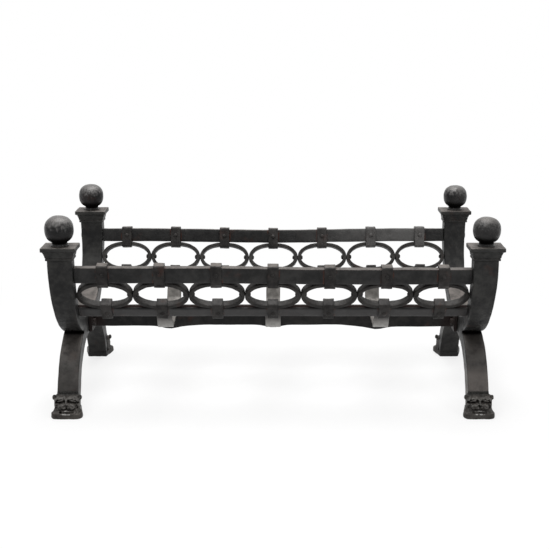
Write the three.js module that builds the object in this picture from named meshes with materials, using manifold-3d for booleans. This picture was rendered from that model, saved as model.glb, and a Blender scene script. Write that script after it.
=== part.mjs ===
// Wrought and cast iron log grate: two X-shaped end frames on lion-mask feet, joined by
// four rails, a row of oval rings on each long side, three cross straps and a stretcher.
// Each rivet, bolt or dowel is one solid with the piece that it is named under here.
// Millimetres. X runs along the length, the front faces -Y, +Z is up.
// The origin is on the floor, under the middle of the grate.
import * as THREE from 'three';
import { mergeVertices } from 'three/addons/utils/BufferGeometryUtils.js';
import Module from 'manifold-3d';

const wasm = await Module();
wasm.setup();

// ---------------------------------------------------------------- driving dimensions

const clearance = 0.3; // between pieces that touch

// End frames: a U with round corners stands on an arch with round corners
const frameSpacing = 845; // between the middle planes of the two frames
const postSpacing = 364; // between the middle planes of a frame's two posts
const barThickness = 32; // of the U and of the arch, seen from the side
const cornerRadius = 153; // of the U and of the arch, at mid thickness
const crossingHeight = 148; // of the level where the U and the arch cross
const crossingOverlap = 22; // how far the U sinks into the arch
const postTopHeight = 330; // where the capital starts
const postWidth = 49; // along the length of the grate
const waistWidth = 42;
const ankleWidth = 43;

// Capitals: square mouldings cast on the posts, each height from the capital's foot and
// each overhang from the face of the post
const capitalHeight = 27;
const bandHeight = 4.5;
const bandOverhang = 2.9;
const coveBottom = 6;
const coveBottomOverhang = 3.4;
const coveTop = 17.5;
const coveTopOverhang = 6.6;
const abacusBottom = 19.5;
const abacusOverhang = 10.25;

// Ball finials, each with a stud that runs down through the capital
const ballDiameter = 55.6;
const ballHeight = 53;
const ballTopClearance = 58.5; // from the capital's top to the top of the ball
const neckRadius = 16;
const neckFootHeight = 2.5;
const neckWaistRadius = 14;
const studDiameter = 12;
const studDepth = 18; // below the capital

// Lion feet
const padThickness = 12;
const toeReach = 19; // outwards from the outer face of the posts
const heelReach = 19; // inwards from the middle plane of the posts
const padFrontWidth = 64.5;
const padBackWidth = 44;
const padCorner = 9;
const maskWidth = 56;
const maskHeight = 49; // top of the mask above the floor
const maskReach = 7; // of the plain block behind the features, from the posts' outer face
const dowelDiameter = 9;
const dowelReach = 30; // into the leg

// Rails: flat bars on edge, tenoned through the posts
const topRailDrop = 33; // from the foot of the capitals down to the centre of the bar
const topRailDepth = 29.5; // tall side of the bar
const topRailThickness = 15.5;
const topRailTilt = THREE.MathUtils.degToRad(8); // top edge leans outwards
const topRailOutset = -3.5; // outside the mid thickness of the post
const bottomRailHeight = 209.6; // centre of the bar above the floor
const bottomRailDepth = 23;
const bottomRailThickness = 13;
const bottomRailTilt = THREE.MathUtils.degToRad(28);
const bottomRailOutset = -7;
const tenonDiameter = 10;
const tenonHeadDiameter = 17;
const tenonHeadHeight = 3;
const tenonHeadChamfer = 3;

// Rings: oval hoops of flat bar, side by side between the rails
const ringCount = 7;
const ringEndGap = 0.6; // between an end ring and the post beside it
const ringBand = 7.5; // thickness of the bent bar
const ringWidth = 16; // width of the bent bar, across the side of the grate

// Clips: bands that bind each ring to the rail above and the rail below
const clipWidth = 22;
const clipThickness = 4.2;
const clipLip = 7; // how far a top clip's foot stops short of the outer edge of the ring

// Rivets
const rivetDiameter = 6;
const rivetHeadDiameter = 9.5;
const rivetHeadHeight = 3;
const rivetSink = 0.5; // of a head into the clip that it is one with
const ringStudDepth = 12; // of the studs that hold the end rings to the posts
const ringStudCollar = 12;
const ringStudOutset = 3; // outwards from the middle of the ring's bar, to meet the post

// Cross straps under the fire, and the stretcher between the two frames
const strapRings = [-2, 0, 2]; // the rings they hang below, counted from the middle one
const strapWidth = 32;
const strapThickness = 5;
const strapLapAbove = 7; // how far a strap's end runs above the middle of its rail
const strapBendLength = 12;
const stretcherWidth = 26;
const stretcherDepth = 22;
const flangeThickness = 7;
const flangeWidth = 74;
const flangeHeight = 38;
const boltSpacing = 52;
const boltDiameter = 10;
const boltHeadDiameter = 17;
const boltHeadHeight = 7;
const boltReach = 30; // into the frame
const strapRivetReach = 14; // into the stretcher

// Fineness of the curves
const cornerSteps = 5;
const ringSteps = 12;
const bendSteps = 3;
const ballSegments = 16;
const ballRows = 8;
const rivetSides = 6;
const roundSides = 8;

// ---------------------------------------------------------------- sizes that follow

const halfSpacing = frameSpacing / 2;
const outerRadius = cornerRadius + barThickness / 2;
const innerRadius = cornerRadius - barThickness / 2;
const cornerY = postSpacing / 2 - cornerRadius;
const uCentreZ = crossingHeight + outerRadius - crossingOverlap / 2;
const archCentreZ = crossingHeight - outerRadius + crossingOverlap / 2;
const legBottom = padThickness + clearance;
const padOuterY = postSpacing / 2 + barThickness / 2 + toeReach;
const padInnerY = postSpacing / 2 - heelReach;
const maskOuterY = postSpacing / 2 + barThickness / 2 + maskReach;
const capitalTop = postTopHeight + capitalHeight;
const topRailHeight = postTopHeight - topRailDrop;
const stretcherTop = crossingHeight + stretcherDepth / 2;

// Half the width of an end frame, along the length of the grate, at a height
function frameHalfWidth(z) {
  if (z >= uCentreZ) return postWidth / 2;
  if (z >= crossingHeight) {
    const t = (z - crossingHeight) / (uCentreZ - crossingHeight);
    return THREE.MathUtils.lerp(waistWidth, postWidth, t) / 2;
  }
  return THREE.MathUtils.lerp(ankleWidth, waistWidth, z / crossingHeight) / 2;
}

// How far a frame's face stands from its middle plane, at most, over a reach about a height
function frameFace(z, reach) {
  return Math.max(frameHalfWidth(z - reach), frameHalfWidth(z + reach)) + clearance;
}

// Distance from the middle of the grate to the U's bar at a height
function uBarY(z, outset) {
  const drop = Math.max(uCentreZ - z, 0);
  const radius = cornerRadius + outset;
  return cornerY + Math.sqrt(radius * radius - drop * drop);
}

// Distance from the middle of the grate to the arch's bar at a height
function archBarY(z) {
  const rise = z - archCentreZ;
  return cornerY + Math.sqrt(cornerRadius * cornerRadius - rise * rise);
}

// The four rails' places are given on the front side; the back side is turned half round
const topRail = {
  y: -uBarY(topRailHeight, topRailOutset),
  z: topRailHeight,
  tilt: topRailTilt,
  depth: topRailDepth,
  thickness: topRailThickness,
};
const bottomRail = {
  y: -uBarY(bottomRailHeight, bottomRailOutset),
  z: bottomRailHeight,
  tilt: bottomRailTilt,
  depth: bottomRailDepth,
  thickness: bottomRailThickness,
};

// ---------------------------------------------------------------- solids

// Closed three.js geometry to solid, without the slivers that a lathe leaves on its axis
function solidFrom(geometry) {
  const bare = new THREE.BufferGeometry();
  bare.setAttribute('position', geometry.getAttribute('position'));
  bare.setIndex(geometry.getIndex());
  const merged = mergeVertices(bare, 1e-4);
  const index = merged.getIndex().array;
  const kept = [];
  for (let i = 0; i < index.length; i += 3) {
    const [a, b, c] = index.slice(i, i + 3);
    if (a !== b && b !== c && c !== a) kept.push(a, b, c);
  }
  return new wasm.Manifold(
    new wasm.Mesh({
      numProp: 3,
      vertProperties: new Float32Array(merged.getAttribute('position').array),
      triVerts: new Uint32Array(kept),
    }),
  );
}

function geometryFrom(solid) {
  const mesh = solid.getMesh();
  const geometry = new THREE.BufferGeometry();
  geometry.setAttribute('position', new THREE.BufferAttribute(mesh.vertProperties, 3));
  geometry.setIndex(new THREE.BufferAttribute(mesh.triVerts, 1));
  geometry.computeVertexNormals();
  return geometry;
}

function joined(solids) {
  return solids.reduce((sum, solid) => sum.add(solid));
}

// Outline in (Y, Z), drawn out along X and centred on X = 0
function prismAlongX(shape, length, steps = 1) {
  const options = { depth: length, bevelEnabled: false, curveSegments: steps };
  const geometry = new THREE.ExtrudeGeometry(shape, options);
  geometry.translate(0, 0, -length / 2);
  const basis = new THREE.Matrix4().makeBasis(
    new THREE.Vector3(0, 1, 0),
    new THREE.Vector3(0, 0, 1),
    new THREE.Vector3(1, 0, 0),
  );
  return solidFrom(geometry.applyMatrix4(basis));
}

// Outline in (X, Z), drawn out along Y and centred on Y = 0
function prismAlongY(shape, length, steps = 1) {
  const options = { depth: length, bevelEnabled: false, curveSegments: steps };
  const geometry = new THREE.ExtrudeGeometry(shape, options);
  geometry.translate(0, 0, -length / 2);
  geometry.rotateX(Math.PI / 2);
  return solidFrom(geometry);
}

// Outline in (X, Y), drawn out along Z from a level
function prismAlongZ(shape, bottom, height, steps = 1) {
  const options = { depth: height, bevelEnabled: false, curveSegments: steps };
  const geometry = new THREE.ExtrudeGeometry(shape, options);
  return solidFrom(geometry.translate(0, 0, bottom));
}

function boxSolid(sizeX, sizeY, sizeZ, centre = [0, 0, 0]) {
  return solidFrom(new THREE.BoxGeometry(sizeX, sizeY, sizeZ).translate(...centre));
}

// Turned solid: profile points are [radius, height], from axis to axis, bottom to top
function turned(profile, segments) {
  const points = profile.map(([radius, height]) => new THREE.Vector2(radius, height));
  return solidFrom(new THREE.LatheGeometry(points, segments).rotateX(Math.PI / 2));
}

const alongX = (solid) => solid.rotate([0, 90, 0]);
const alongY = (solid) => solid.rotate([90, 0, 0]);

// Round bar from one height to another, on the Z axis
function roundBar(diameter, bottom, top, segments) {
  const radius = diameter / 2;
  const profile = [
    [0, bottom],
    [radius, bottom],
    [radius, top],
    [0, top],
  ];
  return turned(profile, segments);
}

// Hole whose flats clear a round bar of the given diameter
function boreAlong(diameter, bottom, top, segments) {
  return roundBar((diameter + 2 * clearance) / Math.cos(Math.PI / segments), bottom, top, segments);
}

function ellipsoid(centre, radii, segments, rows) {
  const ball = new THREE.SphereGeometry(1, segments, rows).rotateX(Math.PI / 2);
  return solidFrom(ball.scale(...radii).translate(...centre));
}

// ---------------------------------------------------------------- outlines

function outline(points) {
  return new THREE.Shape(points.map(([x, y]) => new THREE.Vector2(x, y)));
}

function rectangle(width, height) {
  const [w, h] = [width / 2, height / 2];
  return [
    [-w, -h],
    [w, -h],
    [w, h],
    [-w, h],
  ];
}

// Points turned about the origin and then moved
function placed(points, angle, [dx, dy]) {
  const [c, s] = [Math.cos(angle), Math.sin(angle)];
  return points.map(([x, y]) => [x * c - y * s + dx, x * s + y * c + dy]);
}

// Smallest convex outline round a set of points, anticlockwise
function convexHull(points) {
  const sorted = [...points].sort((p, q) => p[0] - q[0] || p[1] - q[1]);
  const turnsLeft = (o, a, b) => {
    return (a[0] - o[0]) * (b[1] - o[1]) - (a[1] - o[1]) * (b[0] - o[0]) > 1e-9;
  };
  const chain = (list) => {
    const hull = [];
    for (const p of list) {
      while (hull.length > 1 && !turnsLeft(hull.at(-2), hull.at(-1), p)) hull.pop();
      hull.push(p);
    }
    return hull.slice(0, -1);
  };
  return [...chain(sorted), ...chain(sorted.reverse())];
}

// Convex outline grown by a distance, with its corners kept sharp
function grown(points, distance) {
  const count = points.length;
  const sides = points.map((p, i) => {
    const q = points[(i + 1) % count];
    const length = Math.hypot(q[0] - p[0], q[1] - p[1]);
    const normal = [(q[1] - p[1]) / length, (p[0] - q[0]) / length];
    return { normal, reach: normal[0] * p[0] + normal[1] * p[1] + distance };
  });
  return sides.map((side, i) => {
    const before = sides[(i + count - 1) % count];
    const [[a, b], [c, d]] = [before.normal, side.normal];
    const cross = a * d - b * c;
    return [(before.reach * d - side.reach * b) / cross, (a * side.reach - c * before.reach) / cross];
  });
}

// How far a convex outline reaches along +x (side 1) or -x (side -1) at the level y
function reachAt(points, side, y) {
  const crossings = points.flatMap((p, i) => {
    const q = points[(i + 1) % points.length];
    if (p[1] === q[1] || (p[1] - y) * (q[1] - y) > 0) return [];
    return [side * (p[0] + ((y - p[1]) / (q[1] - p[1])) * (q[0] - p[0]))];
  });
  return Math.max(...crossings);
}

// Outline of a flat bar of even thickness that follows a line
function ribbon(line, thickness) {
  const sides = [1, -1].map((side) =>
    line.map((p, i) => {
      const before = line[Math.max(i - 1, 0)];
      const after = line[Math.min(i + 1, line.length - 1)];
      const tangent = after.clone().sub(before).normalize();
      const inward = p.clone().sub(before).normalize();
      const stretch = i > 0 ? 1 / Math.max(tangent.dot(inward), 0.5) : 1;
      const normal = new THREE.Vector2(-tangent.y, tangent.x);
      return p.clone().addScaledVector(normal, (side * thickness * stretch) / 2);
    }),
  );
  return new THREE.Shape([...sides[0], ...sides[1].reverse()]);
}

// Line through the points, with each corner rounded over the given length
function roundedLine(points, corner) {
  const path = new THREE.Path().moveTo(points[0].x, points[0].y);
  for (let i = 1; i < points.length - 1; i += 1) {
    const [before, here, after] = points.slice(i - 1, i + 2);
    const start = here.clone().add(before.clone().sub(here).setLength(corner));
    const end = here.clone().add(after.clone().sub(here).setLength(corner));
    path.lineTo(start.x, start.y).quadraticCurveTo(here.x, here.y, end.x, end.y);
  }
  path.lineTo(points.at(-1).x, points.at(-1).y);
  return path.getPoints(bendSteps);
}

// ---------------------------------------------------------------- rivets

// Domed head beyond a seat on the Z axis; sign is 1 above the seat and -1 below it
function headRows(seat, sign) {
  const radius = rivetHeadDiameter / 2;
  return [
    [0, seat + sign * rivetHeadHeight],
    [radius * 0.62, seat + sign * rivetHeadHeight * 0.78],
    [radius, seat],
  ];
}

// Rivet along Z, with a domed head beyond each of two seats
function rivet(lowSeat, highSeat) {
  const shank = rivetDiameter / 2;
  const profile = [
    ...headRows(lowSeat, -1),
    [shank, lowSeat],
    [shank, highSeat],
    ...headRows(highSeat, 1).reverse(),
  ];
  return turned(profile, rivetSides);
}

// ---------------------------------------------------------------- ring row

// Middle of a rail's edge that faces the rings; edge is -1 below and 1 above the rail
function railEdge(rail, edge) {
  const along = (edge * rail.depth) / 2;
  return new THREE.Vector2(rail.y - along * Math.sin(rail.tilt), rail.z + along * Math.cos(rail.tilt));
}

const ringRow = (() => {
  const upper = railEdge(topRail, -1);
  const lower = railEdge(bottomRail, 1);
  const span = upper.clone().sub(lower);
  const tilt = Math.atan2(-span.x, span.y);
  // A rail that is turned against the ring meets the edge of the ring's bar first
  const wedge = (rail) => (ringWidth / 2) * Math.tan(Math.abs(rail.tilt - tilt)) + clearance;
  const top = span.length() / 2 - wedge(topRail);
  const bottom = -span.length() / 2 + wedge(bottomRail);
  const middle = (top + bottom) / 2;
  const centre = upper.clone().add(lower).multiplyScalar(0.5);
  return {
    tilt,
    y: centre.x - middle * Math.sin(tilt),
    z: centre.y + middle * Math.cos(tilt),
    halfHeight: (top - bottom) / 2,
  };
})();

// The rings share the room between the posts, whose faces the collars of the studs meet
const postFace = halfSpacing - frameFace(ringRow.z, ringStudCollar / 2 + ringStudOutset);
const ringPitch = (2 * (postFace - ringEndGap) + clearance) / ringCount;
const ringHalfLength = (ringPitch - clearance) / 2;
const ringInnerHalfHeight = ringRow.halfHeight - ringBand;
const ringInnerHalfLength = ringHalfLength - ringBand;
const ringCentres = Array.from({ length: ringCount }, (_, i) => (i - (ringCount - 1) / 2) * ringPitch);
const strapPositions = strapRings.map((k) => k * ringPitch);

// Where a rivet head clears the curved inside of a ring's end, from the ring's centre
const ringRivetSeat =
  ringInnerHalfLength * Math.sqrt(1 - (rivetHeadDiameter / 2 / ringInnerHalfHeight) ** 2) - clearance;

// Rivet that ties a ring to the next one, whose centre is a pitch away
function linkRivet() {
  return alongX(rivet(ringRivetSeat, ringPitch - ringRivetSeat));
}

// Collared stud that ties an end ring to the post
function postStud() {
  const face = postFace - ringCentres.at(-1);
  const profile = [
    ...headRows(ringRivetSeat, -1),
    [rivetDiameter / 2, ringRivetSeat],
    [rivetDiameter / 2, ringHalfLength - clearance],
    [ringStudCollar / 2, ringHalfLength - clearance],
    [ringStudCollar / 2, face],
    [rivetDiameter / 2, face],
    [rivetDiameter / 2, face + ringStudDepth],
    [0, face + ringStudDepth],
  ];
  return alongX(turned(profile, rivetSides));
}

// Each ring carries the rivet on its right; the first and the last carry a post stud, which
// sits towards the outside of the ring's bar
function ring(index) {
  const shape = new THREE.Shape().absellipse(0, 0, ringHalfLength, ringRow.halfHeight, 0, 2 * Math.PI);
  const opening = new THREE.Path();
  opening.absellipse(0, 0, ringInnerHalfLength, ringInnerHalfHeight, 0, 2 * Math.PI);
  shape.holes.push(opening);
  const hoop = prismAlongY(shape, ringWidth, ringSteps);
  const stud = (turn) => postStud().rotate([0, 0, turn]).translate([0, -ringStudOutset, 0]);
  const tied = hoop.add(index < ringCount - 1 ? linkRivet() : stud(0));
  if (index === 0) return tied.add(stud(180));
  return tied.subtract(alongX(boreAlong(rivetDiameter, -ringPitch, 0, rivetSides)));
}

// ---------------------------------------------------------------- rails and clips

function rail(bar) {
  const outside = halfSpacing + frameFace(bar.z, tenonHeadDiameter / 2);
  const head = outside + tenonHeadHeight;
  const profile = [
    [0, -head],
    [tenonHeadDiameter / 2 - tenonHeadChamfer, -head],
    [tenonHeadDiameter / 2, -outside],
    [tenonDiameter / 2, -outside],
    [tenonDiameter / 2, outside],
    [tenonHeadDiameter / 2, outside],
    [tenonHeadDiameter / 2 - tenonHeadChamfer, head],
    [0, head],
  ];
  const length = 2 * (halfSpacing - frameFace(bar.z, bar.depth / 2));
  const body = boxSolid(length, bar.thickness, bar.depth);
  const hole = alongY(boreAlong(rivetDiameter, -bar.thickness, bar.thickness, rivetSides));
  const holes = ringCentres.map((x) => hole.translate([x, 0, 0]));
  return body.add(alongX(turned(profile, roundSides))).subtract(joined(holes));
}

// The ring's bar where a clip holds it, in the rail's own frame, with its outer edge first.
// The bar bends away a little towards the sides of the clip.
function heldBar(bar, edge) {
  const bulge = clipWidth / 2 / ringInnerHalfLength;
  const depth = ringBand + ringInnerHalfHeight * (1 - Math.sqrt(1 - bulge * bulge));
  const outer = -edge * ringRow.halfHeight;
  const inner = outer + edge * depth;
  const corners = [
    [-ringWidth / 2, inner],
    [ringWidth / 2, inner],
    [ringWidth / 2, outer],
    [-ringWidth / 2, outer],
  ];
  const offset = new THREE.Vector2(ringRow.y - bar.y, ringRow.z - bar.z);
  offset.rotateAround(new THREE.Vector2(), -bar.tilt);
  return placed(corners, ringRow.tilt - bar.tilt, offset.toArray());
}

// Outline that a clip is bent round: the rail and the ring's bar
function clipCore(bar, edge) {
  return convexHull([...rectangle(bar.thickness, bar.depth), ...heldBar(bar, edge)]);
}

// Furthest reach of a clip's outside over a stretch of heights, in the rail's own frame
function clipReach(bar, edge, side, low, high) {
  const outside = grown(clipCore(bar, edge), clearance + clipThickness);
  return Math.max(reachAt(outside, side, low), reachAt(outside, side, high));
}

// Clip with its rivet; where a strap's end lies on the clip, the rivet runs on through it.
// A bottom clip is a closed band; a top clip's outer leg ends level with the ring's bar,
// and its inner leg is hooked under the bar.
function clip(bar, edge, strapped) {
  const core = clipCore(bar, edge);
  const shape = outline(grown(core, clearance + clipThickness));
  shape.holes.push(outline(grown(core, clearance)));
  const front = clipReach(bar, edge, -1, 0, 0) - rivetSink;
  const back = clipReach(bar, edge, 1, 0, 0) - rivetSink;
  const seat = strapped ? strapSeat + strapThickness + clearance : back;
  const band = prismAlongX(shape, clipWidth).add(alongY(rivet(-seat, front)));
  if (edge > 0) return band;
  const [lipY, lipZ] = heldBar(bar, edge)[0];
  const size = 2 * bar.depth;
  const opened = boxSolid(2 * clipWidth, size, size, [0, lipY + clipLip - size / 2, lipZ - size / 2]);
  return band.subtract(opened);
}

// ---------------------------------------------------------------- straps and stretcher

// Face of the bottom clips that the straps' ends lie on, in the rail's own frame
const strapSeat = clipReach(bottomRail, 1, 1, -bottomRailDepth / 2, strapLapAbove) + clearance;

// Mid height of a strap's level run, which lies on the stretcher
const strapLevel = stretcherTop + clearance + strapThickness / 2;

// Turns a point of a rail's own frame into the grate's (Y, Z)
function fromRail(bar, y, z) {
  const point = new THREE.Vector2(y, z).rotateAround(new THREE.Vector2(), bar.tilt);
  return point.add(new THREE.Vector2(bar.y, bar.z));
}

// Rivet with its head on the strap and its shank down in the stretcher
function strapRivet() {
  const shank = rivetDiameter / 2;
  const bottom = stretcherTop - strapRivetReach + clearance;
  const seat = strapLevel + strapThickness / 2 - rivetSink;
  const profile = [[0, bottom], [shank, bottom], [shank, seat], ...headRows(seat, 1).reverse()];
  return turned(profile, rivetSides);
}

// Both ends run straight down from the bottom rails, in line with the rails' own tilt, to the
// level run
function strap() {
  const midY = strapSeat + strapThickness / 2;
  const { tilt, y, z } = bottomRail;
  const kneeDrop = (strapLevel - z - midY * Math.sin(tilt)) / Math.cos(tilt);
  const half = [strapLapAbove, kneeDrop].map((along) => fromRail(bottomRail, midY, along));
  const otherHalf = half.map((p) => new THREE.Vector2(-p.x, p.y)).reverse();
  const line = roundedLine([...half, ...otherHalf], strapBendLength);
  const bar = prismAlongX(ribbon(line, strapThickness), strapWidth);
  const frontLap = alongY(boreAlong(rivetDiameter, -2 * strapSeat, 0, rivetSides))
    .rotate([THREE.MathUtils.radToDeg(tilt), 0, 0])
    .translate([0, y, z]);
  return bar.add(strapRivet()).subtract(frontLap.add(frontLap.rotate([0, 0, 180])));
}

const flangeFace = halfSpacing - frameFace(crossingHeight, flangeHeight / 2);
const boltYs = [-boltSpacing / 2, boltSpacing / 2];

// Bar with a flange and two bolts at each end
function stretcher() {
  const bar = boxSolid(2 * flangeFace, stretcherWidth, stretcherDepth, [0, 0, crossingHeight]);
  const inside = flangeFace - flangeThickness;
  const plateCentre = [flangeFace - flangeThickness / 2, 0, crossingHeight];
  const plate = boxSolid(flangeThickness, flangeWidth, flangeHeight, plateCentre);
  const bolt = alongX(
    joined([
      roundBar(boltHeadDiameter, inside - boltHeadHeight, flangeFace, 6),
      roundBar(boltDiameter, inside, halfSpacing - waistWidth / 2 + boltReach, rivetSides),
    ]),
  );
  const bolts = boltYs.map((y) => bolt.translate([0, y, crossingHeight]));
  const end = joined([plate, ...bolts]);
  const strapHole = boreAlong(
    rivetDiameter,
    stretcherTop - strapRivetReach,
    stretcherTop + strapThickness,
    rivetSides,
  );
  const strapHoles = strapPositions.map((x) => strapHole.translate([x, 0, 0]));
  return joined([bar, end, end.rotate([0, 0, 180])]).subtract(joined(strapHoles));
}

// ---------------------------------------------------------------- end frames

// Side view of an end frame in (Y, Z): the outside of the front half, the underside of the
// arch, the outside of the back half, and the inside of the U
function frameOutline() {
  const crotch = Math.asin((uCentreZ - crossingHeight) / outerRadius);
  const ankle = (radius) => Math.asin((legBottom - archCentreZ) / radius);
  const top = postTopHeight + bandHeight; // the posts end inside the capitals
  const bendTop = Math.min(top, uCentreZ); // low posts end in the U's round corner
  const shoulder = (radius) => Math.asin((uCentreZ - bendTop) / radius);
  const postY = (radius) => cornerY + radius * Math.cos(shoulder(radius));
  const shape = new THREE.Shape().moveTo(-postY(innerRadius), top);
  shape.lineTo(-postY(outerRadius), top);
  shape.absarc(-cornerY, uCentreZ, outerRadius, Math.PI + shoulder(outerRadius), Math.PI + crotch, false);
  shape.absarc(-cornerY, archCentreZ, outerRadius, Math.PI - crotch, Math.PI - ankle(outerRadius), false);
  shape.absarc(-cornerY, archCentreZ, innerRadius, Math.PI - ankle(innerRadius), Math.PI / 2, true);
  shape.absarc(cornerY, archCentreZ, innerRadius, Math.PI / 2, ankle(innerRadius), true);
  shape.absarc(cornerY, archCentreZ, outerRadius, ankle(outerRadius), crotch, false);
  shape.absarc(cornerY, uCentreZ, outerRadius, -crotch, -shoulder(outerRadius), false);
  shape.lineTo(postY(outerRadius), top);
  shape.lineTo(postY(innerRadius), top);
  shape.absarc(cornerY, uCentreZ, innerRadius, -shoulder(innerRadius), -Math.PI / 2, true);
  shape.absarc(-cornerY, uCentreZ, innerRadius, -Math.PI / 2, shoulder(innerRadius) - Math.PI, true);
  return shape;
}

// End view in (X, Z): wide at the posts, narrow at the waist
function frameWidths() {
  const levels = [0, crossingHeight, uCentreZ, capitalTop];
  const right = levels.map((z) => [frameHalfWidth(z), z]);
  const left = levels.map((z) => [-frameHalfWidth(z), z]).reverse();
  return outline([...right, ...left]);
}

// Holes of the front half; the back half has the same ones
function frameHoles() {
  const boreX = (diameter, from, to, sides) => alongX(boreAlong(diameter, from, to, sides));
  const tenonHole = boreX(tenonDiameter, -postWidth, postWidth, roundSides);
  const ringStudEnd = -frameHalfWidth(ringRow.z) + ringStudDepth;
  const ringStudHole = boreX(rivetDiameter, -postWidth, ringStudEnd, rivetSides);
  const ringStudY = ringRow.y - ringStudOutset * Math.cos(ringRow.tilt);
  const ringStudZ = ringRow.z - ringStudOutset * Math.sin(ringRow.tilt);
  const studBottom = postTopHeight - studDepth - clearance;
  const studHole = boreAlong(studDiameter, studBottom, capitalTop, roundSides);
  const dowelHole = boreAlong(dowelDiameter, 0, legBottom + dowelReach + clearance, rivetSides);
  const boltEnd = boltReach + clearance - waistWidth / 2;
  const boltHole = boreX(boltDiameter, -postWidth, boltEnd, rivetSides);
  return joined([
    tenonHole.translate([0, topRail.y, topRail.z]),
    tenonHole.translate([0, bottomRail.y, bottomRail.z]),
    ringStudHole.translate([0, ringStudY, ringStudZ]),
    studHole.translate([0, -postSpacing / 2, 0]),
    dowelHole.translate([0, -dowelY, 0]),
    boltHole.translate([0, boltYs[0], crossingHeight]),
  ]);
}

const dowelY = archBarY(legBottom + dowelReach / 2);

// Square moulding profile, symmetrical about the axis, for a post of the given width
function capitalProfile(width) {
  const steps = [
    [bandOverhang, 0],
    [bandOverhang, bandHeight],
    [coveBottomOverhang, coveBottom],
    [THREE.MathUtils.lerp(coveBottomOverhang, coveTopOverhang, 0.3), (coveBottom + coveTop) / 2],
    [coveTopOverhang, coveTop],
    [abacusOverhang, abacusBottom],
    [abacusOverhang, capitalHeight],
  ];
  const right = steps.map(([overhang, z]) => [width / 2 + overhang, z]);
  const left = steps.map(([overhang, z]) => [-width / 2 - overhang, z]).reverse();
  return outline([...right, ...left]);
}

function capital() {
  const run = 2 * (postWidth + 2 * abacusOverhang);
  const block = prismAlongX(capitalProfile(barThickness), run);
  return block.intersect(prismAlongY(capitalProfile(postWidth), run));
}

// The right-hand frame; the left-hand one is the same, turned half round
function endFrame() {
  const depth = postSpacing + 2 * barThickness;
  const bars = prismAlongX(frameOutline(), 2 * postWidth, cornerSteps);
  const body = bars.intersect(prismAlongY(frameWidths(), depth));
  const capitals = [-1, 1].map((side) => {
    return capital().translate([0, (side * postSpacing) / 2, postTopHeight]);
  });
  const holes = frameHoles();
  return joined([body, ...capitals]).subtract(holes.add(holes.mirror([0, 1, 0])));
}

// ---------------------------------------------------------------- finials

// Measured from the capital's top
function finial() {
  const radius = ballDiameter / 2;
  const middle = ballTopClearance - ballHeight / 2;
  const start = Math.asin(neckWaistRadius / radius);
  const ball = Array.from({ length: ballRows + 1 }, (_, i) => {
    const angle = THREE.MathUtils.lerp(start, Math.PI, i / ballRows);
    return [radius * Math.sin(angle), middle - (ballHeight / 2) * Math.cos(angle)];
  });
  ball.at(-1)[0] = 0;
  const stud = studDiameter / 2;
  const stem = -capitalHeight - clearance - studDepth;
  const profile = [
    [0, stem],
    [stud, stem],
    [stud, clearance],
    [neckRadius, clearance],
    [neckRadius, neckFootHeight],
    ...ball,
  ];
  return turned(profile, ballSegments);
}

// ---------------------------------------------------------------- lion feet

// Front foot, with its middle plane at X = 0: a sole with a dowel that stands in the leg,
// and a mask whose back is hollowed to the leg
function lionFoot() {
  const [front, back] = [padFrontWidth / 2, padBackWidth / 2];
  const sole = prismAlongZ(
    outline([
      [-back, -padInnerY],
      [-front, -padOuterY + padCorner],
      [-front + padCorner, -padOuterY],
      [front - padCorner, -padOuterY],
      [front, -padOuterY + padCorner],
      [back, -padInnerY],
    ]),
    0,
    padThickness,
  );
  const dowel = roundBar(dowelDiameter, padThickness / 2, legBottom + dowelReach, rivetSides);
  return joined([lionMask(), sole, dowel.translate([0, -dowelY, 0])]);
}

function lionMask() {
  const side = maskWidth / 2;
  const face = outline([
    [-side - 2, 0],
    [side + 2, 0],
    [side, maskHeight - 9],
    [side - 5, maskHeight - 2],
    [-side + 5, maskHeight - 2],
    [-side, maskHeight - 9],
  ]);
  const backY = archBarY(maskHeight);
  const block = prismAlongY(face, maskOuterY - backY).translate([0, -(maskOuterY + backY) / 2, 0]);
  const middleZ = maskHeight / 2;
  const features = [
    ellipsoid([0, -maskOuterY, maskHeight - 6.5], [side - 1, 6, 6], 8, 5), // brow
    ellipsoid([0, -maskOuterY - 1, middleZ - 1], [15, 10, 10], 8, 5), // muzzle
    ellipsoid([0, -maskOuterY - 2, middleZ + 6], [5.5, 6, 9], 6, 4), // nose
    ...[-1, 1].flatMap((hand) => [
      ellipsoid([hand * (side - 9), -maskOuterY, middleZ - 2], [11, 6.5, 9], 6, 4), // cheek
      ellipsoid([hand * (side - 1), -maskOuterY + 2, maskHeight - 8], [4.5, 6, 5.5], 6, 4), // mane
    ]),
  ];
  const radius = outerRadius + 2 * clearance;
  const angleAt = (z) => Math.PI - Math.asin((z - archCentreZ) / radius);
  const leg = new THREE.Shape().moveTo(-cornerY, archCentreZ);
  leg.lineTo(-cornerY - radius, padThickness);
  leg.absarc(-cornerY, archCentreZ, radius, angleAt(padThickness), angleAt(2 * maskHeight), true);
  return joined([block, ...features]).subtract(prismAlongX(leg, 2 * padFrontWidth, cornerSteps));
}

// ---------------------------------------------------------------- assembly

function iron(color, roughness, metalness) {
  return new THREE.MeshStandardMaterial({ color, roughness, metalness, flatShading: true });
}

function piece(name, solid, material) {
  const mesh = new THREE.Mesh(geometryFrom(solid), material);
  mesh.name = name;
  return mesh;
}

const group = new THREE.Group();

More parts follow.
